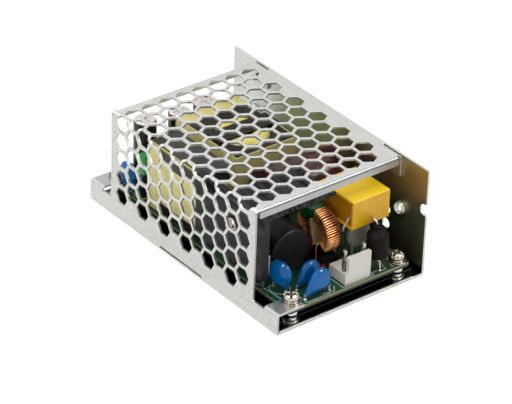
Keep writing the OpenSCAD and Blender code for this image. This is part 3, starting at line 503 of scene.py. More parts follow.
def makeAnodised(flangeZ, shadeZ):
    # black anodised angle: drawing lines along its length, grey scuffs, and painted shadow in dark patches
    # with uneven gloss on its flange, which fade out below it; the leg has painted shade towards its foot,
    # and its edges a painted highlight
    f = Finish("blackAnodised", (0.3, 0.5), 0.0, 500.0, 3.0)
    z = f.axes()[2]
    drawn = f.place(streaks, **streakSet["drawnAngle"])
    plain = 0.6
    drift = f.calc("ADD", f.times(drawn.outputs["Streak"], 0.6), f.times(f.cloud, 0.4))
    shadeAndGlossPatch = f.calc("SUBTRACT", f.spread(drift, 0.4, 0.6), plain)
    shadeAndGlossPatch = f.calc("ADD", f.times(shadeAndGlossPatch, f.spread(z, *flangeZ, 0.1, 1.0)), plain)
    base = f.blend(shadeAndGlossPatch, tone(5, 5, 6), tone(32, 30, 32))
    base = f.blend(f.spread(z, *shadeZ), tone(9, 9, 10), base)
    base = f.blend(f.times(drawn.outputs["Scratch"], 0.35), base, tone(104, 104, 106))
    # painted highlight along the edges
    f.colour(f.blend(f.times(f.edgeMask(0.0003), 0.3), base, tone(110, 110, 112)))
    f.feed("Roughness", f.spread(shadeAndGlossPatch, 0, 1, 0.55, 0.32))
    f.feed("Specular IOR Level", f.spread(shadeAndGlossPatch, 0, 1, 0.04, 0.42))
    return f.bump(drawn.outputs["Streak"], 0.00001, 0.4, 0.0002)


boardSet = {
    # areas of copper: how many per metre, and where they begin beside the gaps between them
    "pourScale": 230.0,
    "pourEdge": (0.06, 0.085),
    # radians per metre of the slanting tracks
    "trackRate": 4200.0,
    # heights between which the cut edge turns from painted shade to its pale fibre
    "edgeShadeZ": (0.0058, 0.0062),
}


def makeBoard(s):
    # green mask over copper: paler where copper lies under it, with fine slanting tracks in places,
    # and olive glass fibre at the cut edges, with painted shade darkening their lower part
    f = Finish("greenBoard", (0.26, 0.42), 0.0, 500.0, 3.0, Specular_IOR_Level=0.35)
    cells = f.node("ShaderNodeTexVoronoi", feature="DISTANCE_TO_EDGE")
    f.join(f.node("ShaderNodeTexCoord").outputs["Object"], cells.inputs["Vector"])
    cells.inputs["Scale"].default_value = s["pourScale"]
    pour = f.spread(cells.outputs["Distance"], *s["pourEdge"])
    spot = f.axes()
    waves = f.calc("SINE", f.times(f.calc("ADD", spot[0], spot[1]), s["trackRate"]))
    tracks = f.times(f.spread(waves, 0.1, 0.4), f.spread(f.cloud, 0.5, 0.56))
    base = f.cloudy(tone(3, 40, 25), tone(5, 54, 33))
    base = f.blend(f.times(pour, 0.7), base, tone(5, 88, 48))
    base = f.blend(f.times(tracks, 0.6), base, tone(28, 100, 64))
    cut = f.spread(f.calc("ABSOLUTE", f.facing()[2]), 0.6, 0.4)
    fibreAndShade = f.blend(f.spread(spot[2], *s["edgeShadeZ"]), tone(34, 38, 22), tone(134, 142, 98))
    f.colour(f.blend(cut, base, fibreAndShade))
    return f.bump(pour, 0.00003, 0.5)


def makeTape(name, dark, light, depth, stock):
    # polyester tape: pale, with the faint edges of overlapping turns
    f = Finish(name, (0.25, 0.42), 0.0, 260.0, 2.0, Specular_IOR_Level=0.35)
    layer = f.place(streaks, **streakSet[stock])
    base = f.cloudy(dark, light)
    f.colour(f.blend(f.spread(layer.outputs["Streak"], 0.5, 0.8, 0, 0.4), base, dark))
    return f.bump(layer.outputs["Streak"], depth, 0.5, 0.0002)


def makeFerrite(name, dark, light, shine, lines):
    # ground ferrite, near black with a grey sheen;
    # lines are thin tape edges along X, each with its y, the height it starts at and its half width
    f = Finish(name, (0.34, 0.5), 0.0, 700.0, 3.0, Specular_IOR_Level=shine)
    base = f.cloudy(dark, light, 0.4, 0.6, 0.7)
    spot = f.axes()
    for y, z, half in lines:
        edge = f.times(f.lineAt(spot[1], y, half), f.above(spot[2], z))
        base = f.blend(edge, base, tone(214, 200, 92))
    f.colour(base)
    return f.bump(f.mottle, 0.00002, 0.4, 0.0002)


def makeSleeve(name, dark, light, rough, ripple, shine):
    # shrunk sleeve: slow ripples over two near tones
    f = Finish(name, rough, 0.0, 260.0, 2.0, Specular_IOR_Level=shine)
    f.colour(f.cloudy(dark, light))
    return f.bump(f.mottle, ripple, 0.6, 0.0002)


def makeFilmCoat(redZ, greenZ):
    # two dipped capacitors: red towards the front, with painted shade at its foot;
    # green towards the rear, over a dark blue foot that stands for a blue disc in painted shade
    f = Finish("filmCoating", (0.12, 0.25), 0.0, 300.0, 2.0, Specular_IOR_Level=0.45)
    spot = f.axes()
    rear = f.blend(f.spread(spot[2], *greenZ), tone(10, 26, 58), tone(66, 172, 90))
    front = f.blend(f.spread(spot[2], *redZ), tone(22, 7, 8), tone(104, 18, 22))
    base = f.blend(f.above(spot[0], 0.0), rear, front)
    f.colour(f.blend(f.spread(f.mottle, 0.5, 0.8, 0, 0.3), base, tone(40, 40, 44)))
    return f.bump(f.mottle, 0.00005, 0.5, 0.0003)


def makeCan(centres, reach, armHalf):
    # bare aluminium can tops with a stamped cross vent at each centre, its arms as long as the reach
    # and fading out between two half widths
    f = Finish("bareAluminium", (0.28, 0.42), 1.0, 900.0, 3.0)
    spot = f.axes()
    score = None
    for x, y in centres:
        dx = f.away(spot[0], x)
        dy = f.away(spot[1], y)
        arm = f.spread(f.calc("MINIMUM", dx, dy), *armHalf, 1.0, 0.0)
        arm = f.times(arm, f.below(f.calc("MAXIMUM", dx, dy), reach))
        score = arm if score is None else f.calc("MAXIMUM", score, arm)
    base = f.cloudy(tone(196, 184, 182), tone(218, 208, 206))
    f.colour(f.blend(f.times(score, 0.7), base, tone(96, 92, 92)))
    return f.bump(f.calc("SUBTRACT", 1.0, score), 0.0002, 0.6, 0.0002)


# the ring choke's middle, the turn of its windings and the half width that they lie within, in mm and degrees
chokeMiddle = (30.6, 2.5, 17.35)
chokeLean = 28.0
woundHalf = 3.2


def fromChoke(f, order):
    # place measured from the choke's middle, along each axis of the order
    spot = f.axes()
    return [f.calc("SUBTRACT", spot[i], chokeMiddle[i] * mm) for i in order]


def makeGreenCore():
    # the ring's glossy green coat, bare in the upper gap and painted dark as shade under the windings:
    # green where the direction from the ring's middle is within about 30 degrees of the gap's
    f = Finish("greenCore", (0.16, 0.28), 0.0, 500.0, 3.0)
    gap = np.radians(chokeLean + 90)
    dx, dz = fromChoke(f, (0, 2))
    toGap = f.calc("ADD", f.times(dx, float(np.cos(gap))), f.times(dz, float(np.sin(gap))))
    bare = f.spread(f.calc("DIVIDE", toGap, f.length(dx, dz)), 0.83, 0.87)
    f.colour(f.blend(bare, tone(16, 9, 6), f.cloudy(tone(6, 84, 44), tone(16, 118, 66))))
    return f.bump(f.mottle, 0.00003, 0.5, 0.0002)


def makeYellowBox(recessY):
    # moulded yellow box, with painted light making its top brighter, and darker amber potting in its recessed
    # side
    f = Finish("yellowBox", (0.3, 0.42), 0.0, 900.0, 3.0, Specular_IOR_Level=0.35)
    normal = f.facing()
    sunk = f.times(f.spread(normal[1], -0.5, -0.8), f.above(f.axes()[1], recessY))
    base = f.cloudy(tone(224, 170, 18), tone(240, 190, 36))
    # painted light on the upward faces
    base = f.blend(f.spread(normal[2], 0.6, 0.8, 0.0, 0.85), base, tone(255, 214, 10))
    f.colour(f.blend(sunk, base, tone(176, 114, 6)))
    return f.bump(f.mottle, 0.00002, 0.5, 0.0003)


def makeWire(name, onRing):
    # enamelled copper: bright orange metal under a clear coat, its tone drifting along the wire;
    # on the ring choke the valleys between turns have painted shade,
    # where the surface looks along the ring towards the next turn
    f = Finish(name, (0.3, 0.42), 0.85, 600.0, 2.0, Coat_Weight=0.2)
    base = f.cloudy(tone(226, 136, 72), tone(255, 192, 126))
    if onRing:
        dx, dy, dz = fromChoke(f, (0, 1, 2))
        normal = f.facing("Normal")
        along = f.calc("SUBTRACT", f.times(normal[2], dx), f.times(normal[0], dz))
        along = f.calc("ABSOLUTE", f.calc("DIVIDE", along, f.length(dx, dz)))
        wound = f.below(f.calc("ABSOLUTE", dy), woundHalf * mm)
        valleyShade = f.times(f.spread(along, 0.5, 0.92, smooth=True), wound)
        base = f.blend(valleyShade, base, tone(44, 18, 8))
    f.colour(base)
    return f.bump(f.mottle, 0.000006, 0.3)


trafoLines = [(-0.0236, 0.0315, 0.0004)]
canCentres = [(-0.0403, -0.0164), (-0.0382, -0.0034), (-0.0385, 0.0074)]
# dark and light tone, roughness, painted shade tone in crevices
platedSet = {
    "nickel": (tone(158, 149, 136), tone(204, 196, 184), (0.16, 0.26), tone(44, 37, 30)),
    "tin": (tone(172, 166, 156), tone(208, 203, 194), (0.26, 0.4), tone(70, 66, 60)),
    "solder": (tone(104, 102, 98), tone(146, 144, 138), (0.3, 0.45), tone(40, 40, 38)),
}
# dark and light tone, roughness, grain scale, grain depth, shine
smoothSet = {
    "creamDivider": (tone(182, 160, 102), tone(208, 188, 130), (0.45, 0.6), 600.0, 0.00003, 0.5),
    "greyCoating": (tone(112, 107, 102), tone(142, 136, 130), (0.5, 0.7), 700.0, 0.00006, 0.5),
    "whiteNylon": (tone(220, 214, 204), tone(229, 225, 216), (0.35, 0.5), 500.0, 0.00001, 0.5),
    "redGlass": (tone(150, 22, 20), tone(196, 44, 34), (0.06, 0.14), 400.0, 0.00001, 0.5),
    "silkWhite": (tone(196, 204, 196), tone(226, 230, 224), (0.5, 0.7), 900.0, 0.00001, 0.5),
    "blackPlastic": (tone(14, 13, 14), tone(22, 21, 22), (0.4, 0.55), 1200.0, 0.00002, 0.25),
    "blueCoating": (tone(0, 82, 150), tone(0, 104, 176), (0.05, 0.09), 260.0, 0.00004, 0.25),
}
# dark and light tone, roughness, ripple depth, shine
sleeveSet = {
    "maroonSleeve": (tone(60, 26, 32), tone(86, 42, 48), (0.16, 0.28), 0.00004, 0.4),
    "blackSleeve": (tone(12, 12, 13), tone(20, 20, 21), (0.22, 0.36), 0.00008, 0.3),
    "shrinkTube": (tone(12, 8, 7), tone(21, 15, 14), (0.5, 0.65), 0.00016, 0.08),
    "dullSleeve": (tone(12, 12, 13), tone(20, 20, 21), (0.42, 0.55), 0.00008, 0.22),
}
finishes = {
    "coverSteel": makeCoverSteel(coverSet),
    "chassisSteel": makeChassisSteel(chassisSet),
    "standoff": makeStandoff(grooveZ=0.0031, grooveHalf=0.0007),
    "boxLead": makeBoxLead(shadeTop=0.0205),
    "blackFilm": makeFilm(creaseX=0.0478, creaseHalf=0.00022),
    "greenBoard": makeBoard(boardSet),
    "blackAnodised": makeAnodised(flangeZ=(0.031, 0.0335), shadeZ=(0.008, 0.03)),
    "trafoFerrite": makeFerrite("trafoFerrite", tone(36, 33, 32), tone(62, 58, 56), 0.4, trafoLines),
    "coilFerrite": makeFerrite("coilFerrite", tone(12, 11, 10), tone(48, 45, 42), 0.2, []),
    "copperWire": makeWire("copperWire", onRing=True),
    "plainWire": makeWire("plainWire", onRing=False),
    "paleTape": makeTape("paleTape", tone(222, 210, 130), tone(246, 238, 170), 0.00003, "tapeAlongX"),
    "coilTape": makeTape("coilTape", tone(234, 214, 96), tone(255, 246, 150), 0.00006, "tapeRound"),
    "greenCore": makeGreenCore(),
    "yellowBox": makeYellowBox(recessY=0.0066),
    "filmCoating": makeFilmCoat(redZ=(0.011, 0.0145), greenZ=(0.0152, 0.0158)),
    "bareAluminium": makeCan(canCentres, reach=0.0026, armHalf=(0.00012, 0.00022)),
}
finishes.update({name: makePlated(name, *values) for name, values in platedSet.items()})
finishes.update({name: makeSmooth(name, *values) for name, values in smoothSet.items()})
finishes.update({name: makeSleeve(name, *values) for name, values in sleeveSet.items()})

nodeFinish = {
    "coverSteel": ["cover"],
    "chassisSteel": ["chassis"],
    "standoff": ["board_standoffs"],
    "nickel": ["cover_screws", "flat_washers", "spring_washers", "board_screws", "heatsink_screw"],
    "tin": ["heatsink_foot", "transistor_tab", "transistor_leads", "transformer_pins", "inductor_pins",
            "bulk_capacitor_leads", "primary_capacitor_leads", "choke_pins", "thermistor_leads",
            "fuse_leads", "disc_capacitor_leads", "film_capacitor_leads", "mains_pins",
            "output_capacitor_leads", "output_pins"],
    "boxLead": ["line_capacitor_leads"],
    "blackFilm": ["floor_insulator"],
    "greenBoard": ["circuit_board"],
    "blackAnodised": ["heatsink"],
    "blackPlastic": ["transistor", "transformer_bobbin", "inductor_bobbin", "choke_base"],
    "trafoFerrite": ["transformer_core"],
    "coilFerrite": ["inductor_core"],
    "copperWire": ["choke_windings"],
    "plainWire": ["transformer_winding"],
    "paleTape": ["transformer_tape", "inductor_tape"],
    "coilTape": ["inductor_winding"],
    "maroonSleeve": ["bulk_capacitor"],
    "blackSleeve": ["output_capacitors"],
    "dullSleeve": ["primary_capacitor"],
    "greenCore": ["choke_core"],
    "creamDivider": ["choke_divider"],
    "yellowBox": ["line_capacitor"],
    "shrinkTube": ["fuse"],
    "greyCoating": ["thermistor"],
    "blueCoating": ["disc_capacitors"],
    "filmCoating": ["film_capacitors"],
    "whiteNylon": ["mains_header", "output_header"],
    "bareAluminium": ["output_cans"],
}
for finish, names in nodeFinish.items():
    for name in names:
        mesh = nodes[name].data
        mesh.materials.clear()
        mesh.materials.append(finishes[finish])
print("finishes placed")


# helpers for new pieces; places in them are in mm

def gridFaces(rows, cols, wrapRows):
    # quads between neighbouring rows and columns of a grid of points; the columns close on themselves
    i = np.arange(rows if wrapRows else rows - 1)
    a, b = np.meshgrid(i, np.arange(cols), indexing="ij")
    a2 = (a + 1) % rows
    b2 = (b + 1) % cols
    quads = np.stack([a * cols + b, a2 * cols + b, a2 * cols + b2, a * cols + b2], axis=-1)
    return quads.reshape(-1, 4)


def circle(count):
    # angles of a full turn, without repeating the first
    return np.linspace(0, 2 * np.pi, count, endpoint=False)


def angleOff(angle, middle):
    # how far an angle is from a middle, the short way round
    return np.abs(np.angle(np.exp(1j * (angle - middle))))


def gather(parts):
    # joins several (points, faces) pairs into one
    points, faces, start = [], [], 0
    for p, f in parts:
        p = p.reshape(-1, 3)
        points.append(p)
        faces.append(f + start)
        start += len(p)
    return np.concatenate(points), np.concatenate(faces)


def addPiece(name, parts, finish, smooth=True):
    # puts whole arrays of points and quads into one mesh, merges its poles and turns its faces outwards
    points, faces = gather(parts)
    mesh = bpy.data.meshes.new(name)
    mesh.vertices.add(len(points))
    mesh.vertices.foreach_set("co", (points * mm).astype(np.float32).ravel())
    mesh.loops.add(faces.size)
    mesh.loops.foreach_set("vertex_index", faces.astype(np.int32).ravel())
    mesh.polygons.add(len(faces))
    mesh.polygons.foreach_set("loop_start", np.arange(0, faces.size, 4, dtype=np.int32))
    mesh.polygons.foreach_set("use_smooth", np.full(len(faces), smooth))
    mesh.update(calc_edges=True)
    shell = bmesh.new()
    shell.from_mesh(mesh)
    bmesh.ops.remove_doubles(shell, verts=shell.verts, dist=mergeGap)
    bmesh.ops.recalc_face_normals(shell, faces=shell.faces)
    shell.to_mesh(mesh)
    shell.free()
    mesh.validate()
    mesh.materials.append(finishes[finish])
    obj = bpy.data.objects.new(name, mesh)
    bpy.context.scene.collection.objects.link(obj)
    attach(obj, "root")
    print("made", name, len(faces), "quads")
    return obj


# choke: wound wires and coated ring

chokeSet = {
    "centre": chokeMiddle,
    "lean": chokeLean,
    "outR": 8.22,
    "inR": 4.65,
    "halfWidth": 2.72,
    "wire": 0.58,
    "turns": 20,
    "arc": 118.0,
    "perTurn": 40,
    "sides": 7,
    "square": 0.2,
    "innerLayer": 0.5,
    "innerFade": 1.6,
    # how much the walk quickens on the outside, and its unevenness: size, rate and start of each sine
    "stride": 0.13,
    "drift": [(0.07, 1.7, 0.0), (0.05, 0.83, 1.0)],
    # leads from the ends of both windings down to the board
    "ends": [
        [(34.5, 1.6, 15.0), (34.3, -0.4, 14.9), (33.9, -0.95, 13.6), (33.7, -0.9, 11.5),
         (33.7, -0.72, 9.6), (33.7, -0.72, 6.8)],
        [(30.9, 3.4, 21.9), (31.2, 5.6, 21.5), (33.4, 6.0, 17.0), (34.8, 5.85, 11.0),
         (35.6, 5.75, 9.0), (35.6, 5.75, 6.8)],
        [(30.4, 3.4, 12.7), (30.1, 5.5, 12.4), (29.2, 5.95, 11.2), (28.8, 5.75, 9.6), (28.8, 5.75, 6.8)],
        [(26.7, 3.4, 19.7), (26.4, 5.6, 19.3), (25.9, 5.95, 15.0), (25.6, 5.8, 10.0), (25.6, 5.75, 6.8)],
    ],
    "endSteps": 8,
    "endGuide": (0.9, 0.3, 0.2),
    "coreR": 7.85,
    "boreR": 5.0,
    "coreHalf": 2.35,
    "coreSquare": 0.3,
    "coreAround": 144,
    "coreSides": 40,
    # how far the core swells in the gap, the share of that across it, and the degrees that it rises over
    "swell": 0.45,
    "swellAcross": 0.5,
    "swellRise": 7.0,
}


def smoothPath(points, steps):
    # a curve through every point: each span is a cubic whose slopes come from its neighbours
    p = np.array(points, float)
    p = np.concatenate([[2 * p[0] - p[1]], p, [2 * p[-1] - p[-2]]])
    t = np.linspace(0, 1, steps, endpoint=False)[None, :, None]
    a, b, c, d = (p[i:len(p) - 3 + i, None] for i in range(4))
    square = 2 * a - 5 * b + 4 * c - d
    cube = 3 * b - a - 3 * c + d
    curve = 0.5 * (2 * b + (c - a) * t + square * t ** 2 + cube * t ** 3)
    return np.concatenate([curve.reshape(-1, 3), p[-2:-1]])


def tubeAlong(path, radius, sides, guide):
    # a round section carried along a path, turned by a guide direction, both ends closed on their middle
    along = np.gradient(path, axis=0)
    along /= np.linalg.norm(along, axis=1, keepdims=True)
    one = np.cross(along, np.array(guide))
    one /= np.linalg.norm(one, axis=1, keepdims=True)
    two = np.cross(along, one)
    turn = circle(sides)[None, :, None]
    tube = path[:, None] + radius * (np.cos(turn) * one[:, None] + np.sin(turn) * two[:, None])
    first = np.repeat(path[:1, None], sides, 1)
    last = np.repeat(path[-1:, None], sides, 1)
    tube = np.concatenate([first, tube, last])
    return tube, gridFaces(len(tube), sides, False)


def squared(wave, power):
    # a sine or cosine pushed towards plus and minus one
    return np.sign(wave) * np.abs(wave) ** power


def chokeWires(s):
    # a round wire carried round the ring's square section while it walks along the arc:
    # section point = middle + half sizes * squared cosine and sine;
    # the walk is quickest on the outside, and uneven by small sines, so some turns stand apart;
    # in the bore every other turn lies in a second layer
    t = np.linspace(0, s["turns"], s["turns"] * s["perTurn"] + 1)
    phi = 2 * np.pi * t + np.pi
    half = (s["outR"] - s["inR"]) / 2
    rho = s["inR"] + half + half * squared(np.cos(phi), s["square"])
    inBore = np.clip(-s["innerFade"] * np.cos(phi), 0, 1)
    rho -= s["innerLayer"] * (0.5 - 0.5 * np.cos(np.pi * t)) * inBore
    wide = s["halfWidth"] * squared(np.sin(phi), s["square"])
    walk = t + s["stride"] * np.sin(2 * np.pi * (t - 0.5))
    for size, rate, start in s["drift"]:
        walk = walk + size * np.sin(rate * t + start)
    walk = (walk - walk[0]) / (walk[-1] - walk[0])
    radius = s["wire"] / 2
    parts = []
    for side in (0.0, 180.0):
        theta = np.radians(side + s["lean"] + s["arc"] * (walk - 0.5))
        path = np.stack([rho * np.cos(theta), wide, rho * np.sin(theta)], axis=1) + np.array(s["centre"])
        ring = np.stack([-np.sin(theta), 0 * theta, np.cos(theta)], axis=1)
        parts.append(tubeAlong(path, radius, s["sides"], ring))
    for points in s["ends"]:
        parts.append(tubeAlong(smoothPath(points, s["endSteps"]), radius, s["sides"], s["endGuide"]))
    return parts


def chokeRing(s):
    # the coated core: a rounded square section carried round the ring,
    # its outer radius swelling smoothly in the upper gap between the windings
    theta = circle(s["coreAround"])[:, None]
    phi = circle(s["coreSides"])[None, :]
    off = angleOff(theta, np.radians(s["lean"] + 90))
    room = np.radians(90 - s["arc"] / 2)
    swell = s["swell"] * np.clip((room - off) / np.radians(s["swellRise"]), 0, 1)
    middle = (s["coreR"] + swell + s["boreR"]) / 2
    half = (s["coreR"] + swell - s["boreR"]) / 2
    rho = middle + half * squared(np.cos(phi), s["coreSquare"])
    wide = (s["coreHalf"] + s["swellAcross"] * swell) * squared(np.sin(phi), s["coreSquare"])
    ring = np.stack([rho * np.cos(theta), wide + 0 * theta, rho * np.sin(theta)], axis=-1)
    return [(ring + np.array(s["centre"]), gridFaces(s["coreAround"], s["coreSides"], True))]


wires = addPiece("chokeWires", chokeWires(chokeSet), "copperWire")
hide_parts("choke_windings")
core = addPiece("chokeRing", chokeRing(chokeSet), "greenCore")
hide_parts("choke_core")


# fuse leads

fuseSet = {
    "radius": 0.34,
    "sides": 10,
    "steps": 12,
    "guide": (0.25, 1.0, 0.15),
    "hook": [(47.3, 13.35, 22.8), (47.25, 13.2, 24.2), (46.8, 12.85, 25.2), (46.0, 12.65, 25.5),
             (45.2, 13.2, 25.1), (44.4, 14.9, 23.6), (43.95, 16.2, 20.5), (43.9, 16.3, 16.0),
             (43.8, 15.2, 12.0), (43.75, 11.9, 9.4), (43.75, 11.2, 8.2), (43.75, 11.2, 6.4)],
    "foot": [(47.35, 14.4, 12.0), (47.6, 14.35, 10.8), (48.4, 14.1, 9.2), (48.95, 13.92, 8.0),
             (49.0, 13.9, 6.4)],
}


def fuseLeads(s):
    # two round leads, each carried along its own smooth path
    paths = [smoothPath(s[key], s["steps"]) for key in ("hook", "foot")]
    return [tubeAlong(path, s["radius"], s["sides"], s["guide"]) for path in paths]


leads = addPiece("fuseLeads", fuseLeads(fuseSet), "tin")
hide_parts("fuse_leads")


# small axial diode on the board

diodeSet = {
    # place along the body and radius there
    "body": [(-1.7, 0.0), (-1.7, 0.4), (-1.62, 0.62), (-1.4, 0.72), (-0.5, 0.75), (0.5, 0.75),
             (1.4, 0.72), (1.62, 0.62), (1.7, 0.4), (1.7, 0.0)],
    "bodySides": 20,
    "middle": (37.5, -0.9, 7.62),
    "turn": 35.0,
    # one lead, along the body and up; the other is its mirror image
    "lead": [(1.3, 0), (2.3, 0), (2.9, -0.15), (3.1, -0.6), (3.1, -0.85)],
    "leadRadius": 0.26,
    "leadSides": 8,
    "leadSteps": 6,
    "leadGuide": (0.9, 0.6, 0.1),
}


def axialSpin(points, s):
    # turns points about the upright axis and moves them to the diode's place
    a = np.radians(s["turn"])
    x, y, z = points[..., 0], points[..., 1], points[..., 2]
    turned = np.stack([x * np.cos(a) - y * np.sin(a), x * np.sin(a) + y * np.cos(a), z], axis=-1)
    return turned + np.array(s["middle"])


def diodeBody(s):
    # a profile turned round the lead's line
    turn = circle(s["bodySides"])[None, :]
    profile = np.array(s["body"])
    along = profile[:, :1] + 0 * turn
    r = profile[:, 1:]
    body = np.stack([r * np.cos(turn), along, r * np.sin(turn)], axis=-1)
    return [(axialSpin(body, s), gridFaces(len(profile), s["bodySides"], False))]


def diodeLeads(s):
    # round leads, straight out of the body and bent down to the board
    parts = []
    for side in (1, -1):
        path = smoothPath([(0, side * y, z) for y, z in s["lead"]], s["leadSteps"])
        parts.append(tubeAlong(axialSpin(path, s), s["leadRadius"], s["leadSides"], s["leadGuide"]))
    return parts


addPiece("diodeBody", diodeBody(diodeSet), "redGlass")
addPiece("diodeLeads", diodeLeads(diodeSet), "tin")


# dipped disc capacitors

discSet = {
    "boardTop": 6.8,
    # middle between the leads x y, turn, radius, centre along the lead line and up, thickness,
    # tips of the coated leads
    "discs": [
        (38.6, -19.7, 105, 4.6, (0.0, 5.9), 3.7, [(-3.0, 0.3)]),
        (42.4, -10.6, 0, 4.0, (0.2, 5.2), 3.4, [(-5.3, 0.4), (4.8, 0.8)]),
        (48.2, -12.0, 0, 3.8, (1.1, 5.7), 3.4, [(-5.5, 0.3), (6.0, 1.2)]),
        (-40.6, -22.9, 90, 4.5, (0.0, 5.6), 3.6, [(-2.6, 0.4), (2.6, 0.4)]),
    ],
    "around": 120,
    "across": 27,
    # share of straight tangents in a neck, the rest hollow by a power
    "straight": 0.2,
    "hollow": 2.4,
    # least facing of the edge between two tips, and how far out it lies
    "edgeFacing": 0.2,
    "edgeOut": 0.96,
    "soften": (1, 2, 3, 2, 1),
    # powers of the pillow's section, and where, over what and by how much the necks thin
    "roundPower": 0.7,
    "crownPower": 0.85,
    "thinFrom": 0.75,
    "thinOver": 0.7,
    "thinBy": 0.6,
}


def discRim(s, radius, spots, v):
    # outline in the disc's plane, by angle from its centre: the circle, a neck drawn out to each tip,
    # and between two tips the straight edge that joins them; then softened along the angle
    rim = np.full(s["around"], radius)
    for tip in spots:
        far = np.linalg.norm(tip)
        reach = np.arccos(radius / far)
        off = angleOff(v, np.arctan2(tip[1], tip[0]))
        line = radius / np.cos(np.clip(reach - off, 0, reach))
        hollow = radius + (far - radius) * np.clip(1 - off / reach, 0, 1) ** s["hollow"]
        rim = np.maximum(rim, s["straight"] * line + (1 - s["straight"]) * hollow)
    if len(spots) == 2:
        way = spots[1] - spots[0]
        normal = np.array([way[1], -way[0]]) / np.linalg.norm(way)
        facing = np.cos(v) * normal[0] + np.sin(v) * normal[1]
        depth = spots[0] @ normal
        edge = np.where(facing > s["edgeFacing"], depth / np.maximum(facing, s["edgeFacing"]), 0)
        nearer = np.minimum(np.linalg.norm(spots[0]), np.linalg.norm(spots[1]))
        rim = np.maximum(rim, np.where(edge < nearer, edge * s["edgeOut"], 0))
    soft = np.array(s["soften"]) / sum(s["soften"])
    return np.convolve(np.concatenate([rim[-2:], rim, rim[:2]]), soft, "valid")


def discBodies(s):
    # each body fills its outline; across the plane it closes like a pillow and thins towards the tips
    u = np.linspace(0, np.pi, s["across"])[:, None]
    v = circle(s["around"])
    rho = np.sin(u) ** s["roundPower"]
    crown = squared(np.cos(u), s["crownPower"])
    parts = []
    for x, y, turn, radius, centre, thick, tips in s["discs"]:
        rim = discRim(s, radius, np.array(tips) - np.array(centre), v)[None, :]
        past = np.clip((rho * rim / radius - s["thinFrom"]) / s["thinOver"], 0, 1)
        lx = thick / 2 * crown * (1 - s["thinBy"] * past)
        ly = centre[0] + rho * rim * np.cos(v)[None, :]
        lz = centre[1] + rho * rim * np.sin(v)[None, :]
        a = np.radians(turn)
        body = np.stack([x + lx * np.cos(a) - ly * np.sin(a), y + lx * np.sin(a) + ly * np.cos(a),
                         s["boardTop"] + lz], axis=-1)
        parts.append((body, gridFaces(s["across"], s["around"], False)))
    return parts


discs = addPiece("discBodies", discBodies(discSet), "blueCoating")
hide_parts("disc_capacitors")


# board screws

screwSet = {
    # x, y, height of the washers' top, turn
    "places": [(47.625, 22.225, 8.1, 20), (47.625, -22.225, 8.9, 52), (-47.625, 22.225, 8.1, 75),
               (-47.625, -22.225, 8.9, 35)],
    # radius and height above the washers, from the axis over the dome, under the head and down the shank
    "profile": [(0, 2.0), (0.25, 2.0), (0.5, 2.0), (0.75, 2.0), (1.0, 1.99), (1.25, 1.98), (1.5, 1.95),
                (1.7, 1.9), (1.9, 1.82), (2.08, 1.7), (2.24, 1.54), (2.38, 1.34), (2.5, 1.1), (2.57, 0.85),
                (2.6, 0.6), (2.6, 0.3), (2.54, 0.08), (2.4, 0.0), (1.5, 0.0), (1.48, -0.1), (1.48, -7.2),
                (1.2, -7.5), (0, -7.5)],
    "headR": 2.6,
    # the slot's half width, the softness of its sides, its depth and the share of that lost at the rim
    "slotHalf": 0.42,
    "slotSide": 0.12,
    "slotDeep": 1.15,
    "slotLoss": 0.5,
    # height where the slot starts and the height that it fades in over
    "slotLow": 0.9,
    "slotFade": 0.3,
    "angles": 144,
}


def boardScrews(s):
    # the profile turned round its axis; on top, a cross slot sinks where either side distance is small,
    # deepest on the axis and running out through the rim
    turn = circle(s["angles"])[None, :]
    profile = np.array(s["profile"])
    r = profile[:, :1]
    z = profile[:, 1:]
    nearest = np.minimum(np.abs(r * np.cos(turn)), np.abs(r * np.sin(turn)))
    slot = np.clip((s["slotHalf"] - nearest) / s["slotSide"], 0, 1)
    slot = slot * np.clip((z - s["slotLow"]) / s["slotFade"], 0, 1)
    sunk = z - s["slotDeep"] * (1 - s["slotLoss"] * (r / s["headR"]) ** 2) * slot
    parts = []
    for x, y, base, angle in s["places"]:
        a = turn + np.radians(angle)
        body = np.stack([x + r * np.cos(a), y + r * np.sin(a), base + sunk], axis=-1)
        parts.append((body, gridFaces(len(profile), s["angles"], False)))
    return parts


screws = addPiece("boardScrews", boardScrews(screwSet), "nickel")
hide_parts("board_screws")


# drawn collars inside the two fixing holes of the solid wall

collarSet = {
    # x and z of the holes
    "places": [(39.4, 20.3), (-39.4, 20.3)],
    # radius and y of the collar's section, a closed loop from the wall inwards and back
    "section": [(2.5, 29.98), (2.3, 29.7), (2.22, 29.0), (2.12, 28.75), (1.95, 28.68), (1.82, 28.78),
                (1.78, 29.1), (1.78, 29.98)],
    "sides": 40,
}


def wallCollars(s):
    # the section turned round each hole's axis
    turn = circle(s["sides"])[None, :]
    section = np.array(s["section"])
    r = section[:, :1]
    y = section[:, 1:] + 0 * turn
    faces = gridFaces(len(section), s["sides"], True)
    return [(np.stack([x + r * np.cos(turn), y, z + r * np.sin(turn)], axis=-1), faces)
            for x, z in s["places"]]


addPiece("wallCollars", wallCollars(collarSet), "chassisSteel")


# print and pads on the board

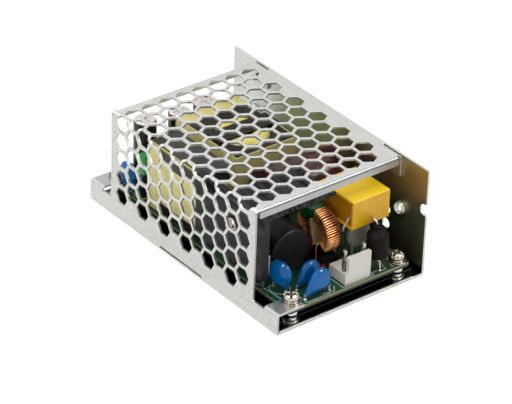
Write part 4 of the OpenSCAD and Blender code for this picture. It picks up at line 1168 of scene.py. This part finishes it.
printSet = {
    "z": 6.83,
    "width": 0.26,
    "deep": 0.05,
    # straight runs x0 y0 x1 y1
    "runs": [
        (35.7, -23.7, 43.7, -23.2), (30.5, -24.4, 38.5, -23.6), (47.8, -4.6, 50.2, -6.1),
        (50.2, -6.1, 49.2, -10.4), (45.3, 17.2, 49.8, 15.7), (49.8, 15.7, 48.9, 12.7),
        (48.9, 12.7, 48.9, 9.9), (42.7, 16.3, 45.3, 17.2), (50.3, -17.6, 50.3, -8.0),
        (44.2, -17.6, 50.3, -17.6), (46.9, 19.0, 50.0, 18.7), (36.0, -14.0, 36.0, -23.0),
        (50.2, -2.6, 50.2, 10.4), (43.2, -2.6, 50.2, -2.6), (43.2, 10.4, 50.2, 10.4),
    ],
    # rings x y radius
    "rings": [(38.6, -19.7, 3.4), (-34.0, -21.4, 3.0), (-40.6, -22.9, 2.6)],
    "ringSides": 48,
    # solder rings x y
    "pads": [(49.0, 13.9), (43.75, 11.2), (42.4, -15.6), (42.4, -5.6), (48.2, -17.0), (48.2, -7.0),
             (41.0, -19.1), (36.2, -20.3), (38.7, 5.95), (38.8, 10.1), (38.8, 15.1)],
    "padIn": 0.42,
    "padOut": 0.85,
    "padRise": 0.45,
    "padSides": 24,
    "padSteps": 6,
}


def ribbon(line, s, closed):
    # a thin flat rectangle carried along a line; the ends of an open one close on their middle
    ahead = np.roll(line, -1, axis=0) - np.roll(line, 1, axis=0)
    if not closed:
        ahead[0] = line[1] - line[0]
        ahead[-1] = line[-1] - line[-2]
    side = np.stack([ahead[:, 1], -ahead[:, 0], 0 * ahead[:, 0]], axis=1)
    side *= s["width"] / 2 / np.linalg.norm(side, axis=1, keepdims=True)
    drop = np.array([0, 0, -s["deep"]])
    bar = np.stack([line - side, line + side, line + side + drop, line - side + drop], axis=1)
    if not closed:
        middle = (line + drop / 2)[:, None]
        bar = np.concatenate([np.repeat(middle[:1], 4, 1), bar, np.repeat(middle[-1:], 4, 1)])
    return bar, gridFaces(len(bar), 4, closed)


def boardPrint(s):
    # straight strips and round strips, flat on the board
    parts = []
    for x0, y0, x1, y1 in s["runs"]:
        line = np.array([[x0, y0, s["z"]], [x1, y1, s["z"]]])
        parts.append(ribbon(line, s, False))
    turn = circle(s["ringSides"])
    for x, y, r in s["rings"]:
        line = np.stack([x + r * np.cos(turn), y + r * np.sin(turn), s["z"] + 0 * turn], axis=1)
        parts.append(ribbon(line, s, True))
    return parts


def boardPads(s):
    # solder meniscus round each lead: its height falls with the square of the way out from the lead,
    # and the section closes along the board
    turn = circle(s["padSides"])[None, :]
    k = np.linspace(0, 1, s["padSteps"])
    out = np.concatenate([k, [1, 0]])[:, None]
    rise = np.concatenate([s["padRise"] * (1 - k) ** 2, [-s["deep"], -s["deep"]]])[:, None]
    r = s["padIn"] + (s["padOut"] - s["padIn"]) * out
    parts = []
    for x, y in s["pads"]:
        cone = np.stack([x + r * np.cos(turn), y + r * np.sin(turn), s["z"] + rise + 0 * turn], axis=-1)
        parts.append((cone, gridFaces(len(rise), s["padSides"], True)))
    return parts


addPiece("boardPrint", boardPrint(printSet), "silkWhite", False)
addPiece("boardPads", boardPads(printSet), "solder")
print("pieces made")
